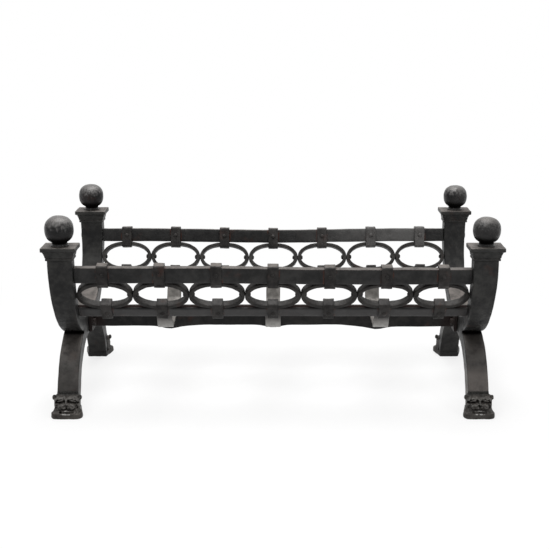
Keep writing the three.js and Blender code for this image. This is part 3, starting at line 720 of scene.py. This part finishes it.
LOOKS = {
    "cast_frame_iron": dict(
        dark=(0.009, 0.009, 0.0092), light=(0.029, 0.0285, 0.027), dust=0.42, rust=0.2,
        roughness=0.46, offset=0.0, settle=0.5, extra=frame_shade_and_pale_feet,
    ),
    "ball_iron": dict(
        dark=(0.005, 0.005, 0.0054), light=(0.021, 0.0203, 0.020), dust=0.38, rust=0.2,
        roughness=0.30, grain=1.6, offset=5.0, settle=0.5, extra=streaked_and_shaded_ball,
    ),
    "lion_foot_iron": dict(
        dark=(0.020, 0.0182, 0.0165), light=(0.066, 0.060, 0.0545), dust=0.1, rust=0.3,
        roughness=0.48, grain=0.9, offset=9.0, extra=mask_wear_and_painted_light,
    ),
    "rail_iron": dict(
        dark=(0.011, 0.011, 0.011), light=(0.026, 0.0255, 0.025), dust=0.33, rust=0.25,
        roughness=0.42, metallic=0.3, grain=1.0, offset=13.0, settle=0.9, extra=rail_rust_and_painted_light,
    ),
    "clip_iron": dict(
        dark=(0.008, 0.0072, 0.0068), light=(0.029, 0.0265, 0.025), dust=0.38, rust=0.35,
        roughness=0.5, metallic=0.2, grain=1.5, offset=17.0, settle=0.9, extra=clips_with_painted_reflection,
    ),
    "ring_iron": dict(
        dark=(0.010, 0.009, 0.0085), light=(0.027, 0.025, 0.023), dust=0.0, rust=0.3,
        roughness=0.5, metallic=0.2, offset=21.0,
    ),
    "strap_iron": dict(
        dark=(0.070, 0.066, 0.061), light=(0.165, 0.156, 0.145), dust=0.1, rust=0.12,
        roughness=0.42, metallic=0.45, offset=25.0, extra=strap_underside_light,
    ),
    "stretcher_iron": dict(
        dark=(0.005, 0.005, 0.005), light=(0.016, 0.0145, 0.014), dust=0.05, rust=0.3,
        roughness=0.55, metallic=0.15, offset=29.0, extra=rusty_ends,
    ),
}
MATERIALS = {name: iron(name, **look) for name, look in LOOKS.items()}

# ---- end frames


def station(y, z, angle, width, thickness, edge=BAR_EDGE):
    """Section of a frame's bar: its thickness lies along the given direction in (Y, Z)"""
    section = rounded_rect(width, thickness, edge, 3, (6, 5))
    out = np.array([cos(angle), sin(angle)])
    return np.column_stack([section[:, 0], np.array([y, z]) + section[:, 1:] * out])


def u_shell():
    """The U with a capital on each post, from the front capital's top to the back one's"""
    post = [(POST_TOP + z, 2 * overhang, CAPITAL_EDGE) for overhang, z in reversed(CAPITAL)]
    post += [(z, 0.0, BAR_EDGE) for z in np.linspace(POST_TOP - 1, U_CENTRE_Z + 3, 7)]
    y = POST_SPACING / 2
    front = [station(-y, z, pi, POST_WIDTH + grow, BAR + grow, edge) for z, grow, edge in post]
    back = [station(y, z, 0.0, POST_WIDTH + grow, BAR + grow, edge) for z, grow, edge in reversed(post)]
    bend = []
    for centre, start in ((-CORNER_Y, pi), (CORNER_Y, 1.5 * pi)):
        for a in np.linspace(start, start + pi / 2, 41):
            z = U_CENTRE_Z + CORNER_RADIUS * sin(a)
            bend.append(station(centre + CORNER_RADIUS * cos(a), z, a, frame_width(z), BAR))
    return loft([*front, *bend, *back])


def arch_shell():
    """The arch, foot to foot, with its ends cut level"""
    low = asin((LEG_BOTTOM - ARCH_CENTRE_Z) / CORNER_RADIUS)
    rings = []
    for centre, level, start, end in (
        (-CORNER_Y, pi, pi - low, pi / 2),
        (CORNER_Y, 0.0, pi / 2, low),
    ):
        for a in np.linspace(start, end, 42):
            y, z = centre + CORNER_RADIUS * cos(a), ARCH_CENTRE_Z + CORNER_RADIUS * sin(a)
            angle = level + (a - level) * min((z - LEG_BOTTOM) / LEG_EASE, 1)
            rings.append(station(y, z, angle, frame_width(z), BAR))
    return loft(rings)


def end_frame_mesh(name):
    """The U and the arch as one body, at X = 0"""
    upper = object_of("upper", mesh_of("upper", [u_shell()]))
    lower = object_of("lower", mesh_of("lower", [arch_shell()]))
    bpy.context.view_layer.update()
    mesh = applied(upper, "BOOLEAN", operation="UNION", solver="EXACT", object=lower)
    bpy.data.objects.remove(lower)
    mesh.name = name
    return mesh


# ---- finials


def finial_shell():
    """Slightly flattened forged ball on a short neck, above the capital's top"""
    radius, half = BALL_DIAMETER / 2, BALL_HEIGHT / 2
    middle = BALL_TOP - half
    profile = [(0.0, CLEARANCE), (NECK[0][0], CLEARANCE), *NECK]
    start = asin((NECK[-1][0] / radius) ** (1 / BALL_SQUARENESS))
    for t in np.linspace(start, pi, 34)[:-1]:
        rise = -copysign(abs(cos(t)) ** BALL_FLATNESS, cos(t))
        profile.append((radius * sin(t) ** BALL_SQUARENESS, middle + half * rise))
    return turned([*profile, (0.0, BALL_TOP)], 64)


# ---- rails


def rail_shells(rail):
    inside = HALF_SPACING - frame_width(rail.z + rail.depth / 2) / 2 - CLEARANCE
    bar = straight_bar(-inside, inside, rail.thickness, rail.depth, 1.3)
    outside = HALF_SPACING + frame_width(rail.z + TENON_HEAD_RADIUS) / 2 + CLEARANCE
    head = dome(outside, 1, TENON_HEAD_RADIUS, TENON_HEAD_HEIGHT, 28)
    tenon = shank(TENON_RADIUS, inside - 2, outside + 0.5)
    ends = [along_x(head), along_x(tenon)]
    return [bar, *ends, *[mirrored_x(shell) for shell in ends]]


# ---- rings


def ring_shells(index):
    """Oval hoop of flat bar in its own plane, with the rivets that it carries"""
    squash = 1 + np.random.default_rng(100 + index).uniform(-0.006, 0.006)
    a = (RING_PITCH - RING_BAND) / 2
    b = (RINGS.half_height - RING_BAND / 2) * squash
    angles = np.linspace(0, 2 * pi, 97)[:-1]
    blunt = np.copysign(np.abs(np.cos(angles)) ** RING_BLUNTNESS, np.cos(angles))
    points = np.stack([a * blunt, b * np.sin(angles)], 1)
    hoop, faces = bent_bar(points, RING_WIDTH, RING_BAND, 1.2, (4, 3), closed=True)
    shells = [(hoop[:, [1, 0, 2]], faces)]
    near, far = RING_RIVET_SEAT, RING_PITCH - RING_RIVET_SEAT
    if index < RING_COUNT - 1:
        heads = [dome(*seat, LINK_HEAD_RADIUS, LINK_HEAD_HEIGHT) for seat in ((near, -1), (far, 1))]
        shells += [along_x(part) for part in (*heads, shank(RIVET_RADIUS, near, far))]
    else:
        shells += post_stud()
    if index == 0:
        shells += [mirrored_x(part) for part in post_stud()]
    return shells


def post_stud():
    """Collared stud from the end ring to the post, in the ring's own frame"""
    start, face, r = RING_HALF_LENGTH - 0.6, POST_FACE - RING_XS[-1], RING_STUD_COLLAR
    collar = turned([(0.0, start), (r, start), (r, face - 0.3), (r - 0.3, face), (0.0, face)], 24)
    parts = [dome(RING_RIVET_SEAT, -1), shank(RIVET_RADIUS, RING_RIVET_SEAT, face + 12), collar]
    return [moved(along_x(part), (0, -RING_STUD_OUTSET, 0)) for part in parts]


# ---- clips


def held_bar(rail, edge):
    """Corners of the ring's bar where a clip holds it, in the rail's own frame"""
    bulge = CLIP_WIDTH / 2 / RING_INNER_HALF_LENGTH
    depth = RING_BAND + (RINGS.half_height - RING_BAND) * (1 - sqrt(1 - bulge * bulge))
    outer = -edge * RINGS.half_height
    inner = outer + edge * depth
    half = RING_WIDTH / 2
    corners = np.array([(-half, inner), (half, inner), (half, outer), (-half, outer)])
    offset = rotated(RINGS.y - rail.y, RINGS.z - rail.z, -rail.tilt)
    return np.stack(rotated(*corners.T, RINGS.tilt - rail.tilt), 1) + offset


def convex_hull(points):
    """Smallest convex outline round the points, anticlockwise"""
    ordered = sorted(map(tuple, points))

    def chain(run):
        hull = []
        for p in run:
            while len(hull) > 1:
                (ox, oy), (ax, ay) = hull[-2], hull[-1]
                if (ax - ox) * (p[1] - oy) - (ay - oy) * (p[0] - ox) > 1e-9:
                    break
                hull.pop()
            hull.append(p)
        return hull[:-1]

    return np.array(chain(ordered) + chain(ordered[::-1]))


def offset_curve(hull, distance):
    """Line at a distance outside a convex outline, round at its corners, cut about every 4 mm"""
    edges = np.roll(hull, -1, 0) - hull
    angles = np.degrees(np.arctan2(-edges[:, 0], edges[:, 1]))
    curve = []
    for corner, edge, start, end in zip(hull, edges, np.roll(angles, 1), angles):
        curve += arc_points(corner, (distance, distance), start, end + 360 * (end < start), 6)
        cuts = max(int(np.hypot(*edge) / 4), 1)
        curve += [curve[-1] + edge * s / cuts for s in range(1, cuts)]
    return np.array(curve)


def clip_line(rail, edge, distance):
    """Line round a rail and the ring's bar, outside both by the clearance and a distance"""
    w, h = rail.thickness / 2, rail.depth / 2
    core = convex_hull([(-w, -h), (w, -h), (w, h), (-w, h), *held_bar(rail, edge)])
    return offset_curve(core, CLEARANCE + distance)


def clip_face(rail, edge, side):
    """How far a clip's outside stands from the rail's middle, on one side"""
    curve = clip_line(rail, edge, CLIP_THICKNESS)
    near = curve[np.abs(curve[:, 1]) < 6]
    return float((side * near[:, 0]).max())


def clip_shells(rail, edge, strapped):
    """Clip with its rivet, in the rail's own frame"""
    curve = clip_line(rail, edge, CLIP_THICKNESS / 2)
    if edge > 0:
        band = bent_bar(curve, CLIP_WIDTH, CLIP_THICKNESS, 0.9, (4, 2), closed=True)
    else:
        lip_y, lip_z = held_bar(rail, edge)[0]
        hook_y = lip_y + CLIP_LIP
        away = (curve[:, 0] < hook_y) & (curve[:, 1] < lip_z)
        first = int(np.argmax(away & ~np.roll(away, -1)))
        kept = np.roll(curve, -first - 1, 0)[: int((~away).sum())]
        start = np.array([hook_y, kept[0][1]])
        end = np.array([kept[-1][0], lip_z])
        path = np.concatenate([[start], kept[1:-1], [end]])
        band = bent_bar(path, CLIP_WIDTH, CLIP_THICKNESS, 0.9, (4, 2))
    front = -clip_face(rail, edge, -1) + RIVET_SINK
    back = STRAP_SEAT + STRAP_THICKNESS if strapped else clip_face(rail, edge, 1) - RIVET_SINK
    rivet = [dome(front, -1), dome(back, 1), shank(RIVET_RADIUS, front, back)]
    return [band, *[along_y(part) for part in rivet]]


# ---- straps and stretcher

STRAP_SEAT = clip_face(BOTTOM_RAIL, 1, 1) + CLEARANCE


def rounded_line(points, corner):
    """Line through the points with its corners rounded, cut about every 9 mm"""
    line = [points[0]]
    for before, here, after in zip(points, points[1:], points[2:]):
        start, end = here + unit(before - here) * corner, here + unit(after - here) * corner
        for t in np.linspace(0, 1, 9):
            line.append(start * (1 - t) ** 2 + 2 * here * t * (1 - t) + end * t**2)
    line.append(points[-1])
    out = [line[0]]
    for p, q in zip(line, line[1:]):
        cuts = max(int(np.hypot(*(q - p)) / 9), 1)
        out += [*np.linspace(p, q, cuts + 1)[1:]]
    return np.array(out)


def strap_shells():
    """Strap from the front bottom rail to the back one, over the stretcher"""
    level = CROSSING_HEIGHT + STRETCHER_DEPTH / 2 + CLEARANCE + STRAP_THICKNESS / 2
    mid_y = STRAP_SEAT + STRAP_THICKNESS / 2
    tilt = BOTTOM_RAIL.tilt
    knee = (level - STRAP_SAG - BOTTOM_RAIL.z - mid_y * sin(tilt)) / cos(tilt)
    lapped = [BOTTOM_RAIL.outward(mid_y, z) for z in (STRAP_LAP, knee)]
    half = np.array([*lapped, (-STRETCHER_WIDTH / 2 - STRAP_REST, level)])
    line = rounded_line([*half, *half[::-1] * (-1, 1)], STRAP_BEND)
    bar = bent_bar(line, STRAP_WIDTH, STRAP_THICKNESS, 1.0, (6, 2), end_chamfer=1.2)
    head = dome(level + STRAP_THICKNESS / 2 - RIVET_SINK, 1)
    return [bar, head]


def stretcher_shells():
    face = HALF_SPACING - frame_width(CROSSING_HEIGHT + FLANGE_HEIGHT / 2) / 2 - CLEARANCE
    inside = face - FLANGE_THICKNESS
    points, faces = straight_bar(-inside, inside, STRETCHER_WIDTH, STRETCHER_DEPTH, 1.6)
    x, _, z = points.T
    bells = [np.exp(-(((x - place) / STRETCHER_SWELL_REACH) ** 2)) for place in STRAP_PLACES]
    inner, outer = STRETCHER_SAG_ENDS
    ramp = smooth((np.abs(x) - inner) / (outer - inner))
    low = z * (1 + STRETCHER_SWELL * sum(bells)) - np.where(x < 0, *STRETCHER_SAG) * ramp
    points[:, 2] = np.where(z < 0, low, z)
    ends = [straight_bar(inside - 0.4, face, FLANGE_WIDTH, FLANGE_HEIGHT, 1.4)]
    low, high, r = inside - BOLT_HEAD_HEIGHT, inside + 0.5, BOLT_HEAD_RADIUS
    bolt = along_x(turned([(0.0, low), (r - 1.4, low), (r, low + 1.2), (r, high), (0.0, high)], 6))
    ends += [moved(bolt, (0, y, 0)) for y in (-BOLT_SPACING / 2, BOLT_SPACING / 2)]
    parts = [(points, faces), *ends, *[mirrored_x(shell) for shell in ends]]
    return [moved(part, (0, 0, CROSSING_HEIGHT)) for part in parts]


# ---- lion feet


def spread(x, z, centre, radii):
    """Squared distance from a centre, counted in radii"""
    return ((x - centre[0]) / radii[0]) ** 2 + ((z - centre[1]) / radii[1]) ** 2


def knob(x, z, centre, radii):
    return np.sqrt(np.clip(1 - spread(x, z, centre, radii), 0, None))


def stroke(x, z, points, width):
    """Soft line through the points: 1 on it, fading over the width"""
    best = np.full(x.shape, 1e9)
    for (ax, az), (bx, bz) in zip(points, points[1:]):
        dx, dz = bx - ax, bz - az
        t = np.clip(((x - ax) * dx + (z - az) * dz) / (dx * dx + dz * dz), 0, 1)
        best = np.minimum(best, (x - ax - t * dx) ** 2 + (z - az - t * dz) ** 2)
    return np.exp(-best / width**2)


# rise, width and points of the ridges and furrows on one half of the face; the other is its mirror
STROKES = (
    # brow, the furrow between its two halves, and the folds over it
    (3.4, 1.9, (2.0, 39.5), (5, 42.4), (11, 43.9), (17.5, 42.8), (22.5, 38.8)),
    (-1.5, 1.4, (0, 40), (0, 44)),
    *[(1.1, 1.6, (a, 47.5), (b, 53)) for a, b in ((3.5, 5.0), (8.5, 11.0), (14.0, 17.5), (19.0, 23.5))],
    # two lids and the line between them, and the bag under the eye
    (1.5, 0.9, *arc_points((11.2, 38.2), (6.0, 4.3), 10, 170)),
    (1.0, 0.9, *arc_points((11.2, 38.8), (6.0, 4.6), 200, 340)),
    (-1.6, 0.8, (7.6, 38.0), (11.2, 38.5), (14.6, 37.8)),
    (-5.4, 1.8, (4.2, 33.6), (9.5, 32.4), (16.5, 31.4), (23.0, 31.6)),
    # bridge of the nose, split of the muzzle, mouth and chin
    (3.0, 2.3, (0, 43), (0, 35)),
    (-1.3, 1.1, (0, 26.5), (0, 19.5)),
    (-1.7, 1.5, (0, 18.7), (5.0, 18.3), (9.5, 18.3), (13.0, 17.4)),
    (-0.9, 1.3, (0, 12.5), (8, 12.5), (14.5, 13.0)),
    # mane: locks that sweep from the brow, round the cheeks, to the pad
    (-3.0, 1.2, (17.6, 37.0), (20.5, 34.0)),
    (-1.8, 1.4, (19.0, 28.6), (21.6, 24.5), (21.2, 20.0)),
    (2.4, 1.6, (24.2, 29.0), (26.4, 23.5), (27.2, 17.5)),
    (2.2, 1.8, (24.0, 38.5), (26.6, 34.0)),
)
# rise, centre and radii of the round swellings and pits
BELLS = (
    # eye socket, its inner corner, and the hollow of the cheek
    (-6.6, (10.8, 38.8), (7.6, 4.4)),
    (-3.6, (3.7, 36.8), (1.8, 3.6)),
    (-3.4, (22.2, 31.5), (3.2, 3.0)),
    # tip and wing of the nose, nostril, whisker pits, lower lip and lowest lock
    (5.6, (0, 31.4), (4.8, 3.9)),
    (1.4, (3.6, 30.0), (1.8, 1.9)),
    (-2.2, (2.9, 26.9), (1.9, 1.3)),
    *[(-0.8, pit, (0.8, 0.8)) for pit in ((6.2, 25.2), (9.6, 25.9), (13.0, 25.0), (7.6, 22.4), (11.2, 22.6))],
    (4.0, (0, 15.4), (7.4, 2.0)),
    (2.0, (16.2, 13.2), (2.4, 3.4)),
)


def lion_relief(x, z):
    """How far the mask stands out from its plane"""
    side = np.abs(x)
    depth = 8.0 * np.sqrt(np.clip(1 - (x / 37) ** 2, 0, 1))
    depth += 6.0 * smooth((19 - z) / 11) - 16.5 * smooth((z - 38.5) / 7.5)
    depth += sum(rise * stroke(side, z, points, width) for rise, width, *points in STROKES)
    depth += sum(rise * np.exp(-spread(side, z, *place)) for rise, *place in BELLS)
    # eyeball and muzzle
    depth += 5.4 * knob(side, z, (11.2, 38.6), (5.2, 3.9))
    depth += 5.0 * knob(side, z, (9.2, 24.0), (8.8, 6.2)) ** 0.8
    # crumpled casting skin, not the same on both halves
    crumples = waves(np.column_stack([x, z, np.zeros_like(x)]), 3.6, 21, 14)
    return depth + crumples * smooth((MASK_TOP - z) / 6)


def mask_half_width(z):
    """Upright at the face, flared to the pad below and drawn in to the leg above"""
    return 26.4 + 5.6 * smooth((20 - z) / 14) + 1.0 * smooth((z - 36) / 5) - 6.4 * smooth((z - 42.5) / 3)


def leg_face(z):
    """Front of the leg, with the gap to it, at a height"""
    return -CORNER_Y - np.sqrt((OUTER_RADIUS + CLEARANCE) ** 2 - (z - ARCH_CENTRE_Z) ** 2)


def mask_shell():
    """Mask with the lion's face; it wraps round the leg a little"""
    columns = 113
    u = np.linspace(-1, 1, columns)
    edge = smooth((np.abs(u) - 0.78) / 0.22)
    rings = []
    for z in np.linspace(1.0, MASK_TOP + 1.5, 100):
        x = u * mask_half_width(z)
        depth = lion_relief(x, np.full(columns, z)) * (1 - 0.5 * edge) - 3.2 * edge**2
        y = np.minimum(-(MASK_PLANE + depth), leg_face(z) - 0.6)
        y = np.maximum(y, -PAD_OUTER_Y + 0.4)
        front = [(px, py, z) for px, py in zip(x, y)]
        rings.append([*front, *[(px * 0.84, -MASK_BACK, z) for px in x[::-7]]])
    return loft(rings)


def pad_shell():
    """Sole under the leg: round at the toe and narrow at the heel, with soft edges"""
    rings = []
    for z, inset in PAD_LEVELS:
        r = PAD_CORNER - inset
        centre = (PAD_FRONT_WIDTH / 2 - PAD_CORNER, -PAD_OUTER_Y + PAD_CORNER)
        heel = (PAD_BACK_WIDTH / 2 - inset, -PAD_INNER_Y - inset)
        right = [*np.linspace(heel, (centre[0] + r, centre[1]), 12)]
        right += arc_points(centre, (r, r), 0, -90, 10)[1:]
        toe = [(right[-1][0] * t, right[-1][1]) for t in np.linspace(0.75, -0.75, 7)]
        left = [(-px, py) for px, py in reversed(right)]
        rings.append([(px, py, z) for px, py in [*right, *toe, *left]])
    return loft(rings)


def ear_shells():
    """Round ear at each top corner of the mask"""
    across, up = EAR_THICKNESS / 2, EAR_HEIGHT / 2
    rim = [(up * cos(a) ** 0.7, across * sin(a)) for a in np.linspace(-1.2, 1.2, 11)]
    right = moved(along_x(turned([(0.0, -across), *rim, (0.0, across)], 28)), EAR_PLACE)
    return [right, mirrored_x(right)]


def shoulder_shells():
    """Fillets that widen the leg to the top corners of the mask"""
    rings = []
    for z in np.linspace(MASK_TOP - 12, MASK_TOP + 2, 16):
        t = (MASK_TOP + 2 - z) / 14
        outer = 21.0 + 7.0 * t**2.4
        face = leg_face(z)
        front = face - 0.5 - 2.6 * t**2.4
        rings.append([(18.0, front, z), (outer, front + 0.8, z), (outer, face + 9, z), (18.0, face + 9, z)])
    right = loft(rings)
    return [right, mirrored_x(right)]


def foot_mesh():
    """Lion foot at X = 0, on the front side, as one body"""
    shells = [mask_shell(), pad_shell(), *ear_shells(), *shoulder_shells()]
    block = object_of("foot_block", mesh_of("foot_block", shells))
    mesh = applied(block, "REMESH", mode="VOXEL", voxel_size=VOXEL * MM, adaptivity=0.0)
    mesh = applied(object_of("foot_smooth", mesh), "SMOOTH", factor=0.5, iterations=1)
    reshaped(mesh, hollow_foot)
    mark_swellings(mesh)
    return mesh


def mark_swellings(mesh):
    """Stores how far each point of the face swells over its surroundings, 0.5 for level"""
    x, y, z = points_of(mesh).T
    around = [lion_relief(x + dx, z + dz) for dx, dz in arc_points((0, 0), (2.4, 2.4), 0, 315, 8)]
    rise = lion_relief(x, z) - np.mean(around, 0)
    face = (y < 4 - MASK_PLANE) & (np.abs(x) < 27) & (z > PAD_THICKNESS) & (z < MASK_TOP - 5)
    attribute = mesh.attributes.new(SWELLING, "FLOAT", "POINT")
    attribute.data.foreach_set("value", np.where(face, np.clip(0.5 + rise * 0.3, 0, 1), 0.5))


def hollow_foot(points):
    """Presses the back of the mask onto the round front of the leg"""
    x, y, z = points.T
    on_leg = (np.abs(x) < ANKLE_WIDTH / 2 + CLEARANCE) & (z > PAD_THICKNESS + 0.4)
    return np.stack([x, np.where(on_leg, np.minimum(y, leg_face(z)), y), z], 1)


# ---- sag of the rows


def lean(left, right):
    """Rise along X that runs from one amount on the left to another on the right"""
    return lambda x: left + (right - left) * smooth(x / FRONT_LEAN_REACH / 2 + 0.5)


def top_sag(x):
    return -BACK_TOP_SAG * np.cos(pi / 2 * np.clip(x / BACK_TOP_SAG_REACH, -1, 1)) ** 2


def low_sag(x):
    inner, outer = BACK_LOW_SAG_ENDS
    return -BACK_LOW_SAG * smooth((outer - np.abs(x)) / (outer - inner))


# rise along X of each kind of piece, at its foot and at its head; the others are level
ROW_RISES = {
    "front_top_rail": (lean(-2.0, -4.4), lean(0.8, -2.4)),
    "front_top_clip": (lean(2.4, 0.0), lean(2.0, -1.4)),
    "front_ring": (lean(0.0, 0.0), lean(2.4, 0.0)),
    "back_top_rail": (top_sag, top_sag),
    "back_top_clip": (top_sag, top_sag),
    "back_bottom_rail": (low_sag, low_sag),
    "back_bottom_clip": (low_sag, low_sag),
    "back_ring": (low_sag, top_sag),
}
RING_RISE_START = {"front": RINGS.z, "back": RINGS.z - RINGS.half_height}


def warped(mesh, low, high, foot, head):
    """Mesh raised by foot(x) at the height low and by head(x) at high"""

    def change(points):
        x, _, z = points.T
        share = smooth((z - low) / (high - low))
        points[:, 2] += foot(x) * (1 - share) + head(x) * share
        return points

    return reshaped(mesh, change)


# ---- assembly


def shifted(mesh, x, turned_round):
    """Mesh turned half round about Z where asked, then moved along X"""
    sign = -1 if turned_round else 1
    return reshaped(mesh, lambda points: points * (sign, sign, 1) + (x, 0, 0))


def build_ends():
    foot = foot_mesh()
    for seed, (end, side) in enumerate((("left", -1), ("right", 1))):
        x = side * HALF_SPACING
        node = f"{end}_end_frame"
        dress(node, shifted(end_frame_mesh(node), x, side < 0), "cast_frame_iron", 40 + seed)
        for edge, sign in (("front", -1), ("back", 1)):
            corner = f"{edge}_{end}"
            number = 2 * seed + (sign > 0)
            node = f"{corner}_ball_finial"
            growth, contrast = CORNERS[corner]
            points, faces = finial_shell()
            ball = moved((points * growth, faces), (x, sign * POST_SPACING / 2, CAPITAL_TOP))
            dress(node, mesh_of(node, [ball]), "ball_iron", 50 + number)
            copy = shifted(foot.copy(), x, sign > 0)
            for swelling in copy.attributes[SWELLING].data:
                swelling.value = 0.5 + (swelling.value - 0.5) * contrast
            dress(f"{corner}_lion_foot", copy, "lion_foot_iron", 60 + number)


def dress_row(kind, pieces, holder, turn, span, slot, seed):
    """Dresses pieces of one kind, each a number, a place along X and shells in the holder's frame

    Their rise runs from foot to head over the span of heights.
    """
    for number, x, shells in pieces:
        node = f"{kind}_{number}" if number else kind
        mesh = mesh_of(node, [moved(s, (x, holder.y, holder.z), holder.tilt, turn) for s in shells])
        if kind in ROW_RISES:
            warped(mesh, *span, *ROW_RISES[kind])
        dress(node, mesh, slot, seed + number)


def build_side(edge, turn):
    places = [(RING_COUNT - i if turn else i + 1, i, x) for i, x in enumerate(RING_XS)]
    for row, rail, bound in (("top", TOP_RAIL, -1), ("bottom", BOTTOM_RAIL, 1)):
        foot, head = rail.z - rail.depth / 2, rail.z + rail.depth / 2
        bar = [(0, 0, rail_shells(rail))]
        dress_row(f"{edge}_{row}_rail", bar, rail, turn, (foot, head), "rail_iron", 70 + bound)
        clips = []
        for number, i, x in places:
            strapped = row == "bottom" and i - (RING_COUNT - 1) / 2 in STRAP_RINGS
            clips.append((number, x, clip_shells(rail, bound, strapped)))
        span = (rail.z - rail.depth, head)
        dress_row(f"{edge}_{row}_clip", clips, rail, turn, span, "clip_iron", 80)
    rings = [(number, x, ring_shells(i)) for number, i, x in places]
    span = (RING_RISE_START[edge], RINGS.z + RINGS.half_height)
    dress_row(f"{edge}_ring", rings, RINGS, turn, span, "ring_iron", 90)


def build_floor_pieces():
    for seed, (place, x) in enumerate(zip(("left", "middle", "right"), STRAP_PLACES)):
        node = f"{place}_cross_strap"
        shells = [moved(s, (x, 0, 0)) for s in strap_shells()]
        dress(node, mesh_of(node, shells), "strap_iron", 30 + seed)
    dress("stretcher", mesh_of("stretcher", stretcher_shells()), "stretcher_iron", 35)


build_ends()
build_side("front", 0.0)
build_side("back", pi)
build_floor_pieces()

# ---- studio

WHITE = (1, 1, 1)
AMBIENT = (1, 0.99, 0.98)
AMBIENT_STRENGTH = 0.2
FLOOR_TONE = (0.93, 0.93, 0.93)
FLOOR_HALF_SIZE = 6.0
# distances from the middle and the floor's own glow at each
FLOOR_FADE = (0.5, 1.1, 0.76, 1.0)
# name, place, aim, size in metres and power in watts
LIGHTS = (
    ("top", (-0.15, 0.15, 2.4), (0, 0, 0.2), (2.4, 1.5), 74),
    ("key", (-0.9, -1.7, 2.1), (0, 0, 0.2), (1.0, 0.8), 8),
    ("side", (1.9, -2.2, 1.15), (0.1, 0, 0.25), (0.6, 1.8), 19),
)
CAMERA_LENS = 66.2
CAMERA_PLACE = (0.003, -2.1293, 0.8231)
CAMERA_TILT = radians(74.9)


def background_ray(g):
    """1 for rays that show the background: from the camera, a gloss or through glass"""
    outputs = g.node("LightPath", {}).outputs
    glossy = Field(g, outputs["Is Camera Ray"]).at_least(outputs["Is Glossy Ray"])
    return glossy.at_least(outputs["Is Transmission Ray"])


def make_world():
    world = bpy.data.worlds.new("studio")
    bpy.context.scene.world = world
    g = Graph(world)
    ambient = g.fill(g.nodes["Background"], {"Color": AMBIENT, "Strength": AMBIENT_STRENGTH})
    white = g.node("Background", {"Color": WHITE})
    mix = g.node("MixShader", {0: background_ray(g), 1: ambient.outputs[0], 2: white.outputs[0]})
    g.fill(g.nodes["World Output"], {"Surface": mix.outputs[0]})


def make_floor():
    """White floor with a soft shadow near the grate, plain white far from it"""
    material = bpy.data.materials.new("white_floor")
    g = Graph(material)
    g.nodes.clear()
    diffuse = g.node("BsdfDiffuse", {"Color": FLOOR_TONE})
    glow = g.node("Emission", {"Color": WHITE})
    place = g.node("TexCoord", {}).outputs["Object"]
    distance = g.node("VectorMath", {0: place}, operation="LENGTH").outputs["Value"]
    share = g.span(distance, *FLOOR_FADE) * background_ray(g)
    mix = g.node("MixShader", {0: share, 1: diffuse.outputs[0], 2: glow.outputs[0]})
    g.node("OutputMaterial", {"Surface": mix.outputs[0]})
    corners = [(x * FLOOR_HALF_SIZE, y * FLOOR_HALF_SIZE, 0) for x, y in ((-1, -1), (1, -1), (1, 1), (-1, 1))]
    mesh = bpy.data.meshes.new("floor")
    mesh.from_pydata(corners, [], [(0, 1, 2, 3)])
    mesh.materials.append(material)
    object_of("floor", mesh)


def area_light(name, place, aim, size, power):
    data = bpy.data.lights.new(name, "AREA")
    data.shape = "RECTANGLE"
    data.size, data.size_y = size
    data.energy = power
    lamp = object_of(name, data)
    lamp.location = place
    x, y, z = np.subtract(aim, place)
    lamp.rotation_euler = (acos(-z / hypot(x, y, z)), 0.0, atan2(y, x) - pi / 2)


def make_camera():
    camera = object_of("camera", bpy.data.cameras.new("camera"))
    camera.data.lens = CAMERA_LENS
    camera.location = CAMERA_PLACE
    camera.rotation_euler = (CAMERA_TILT, 0.0, 0.0)
    bpy.context.scene.camera = camera


make_world()
make_floor()
for light in LIGHTS:
    area_light(*light)
make_camera()

bpy.context.scene.view_settings.view_transform = "Standard"
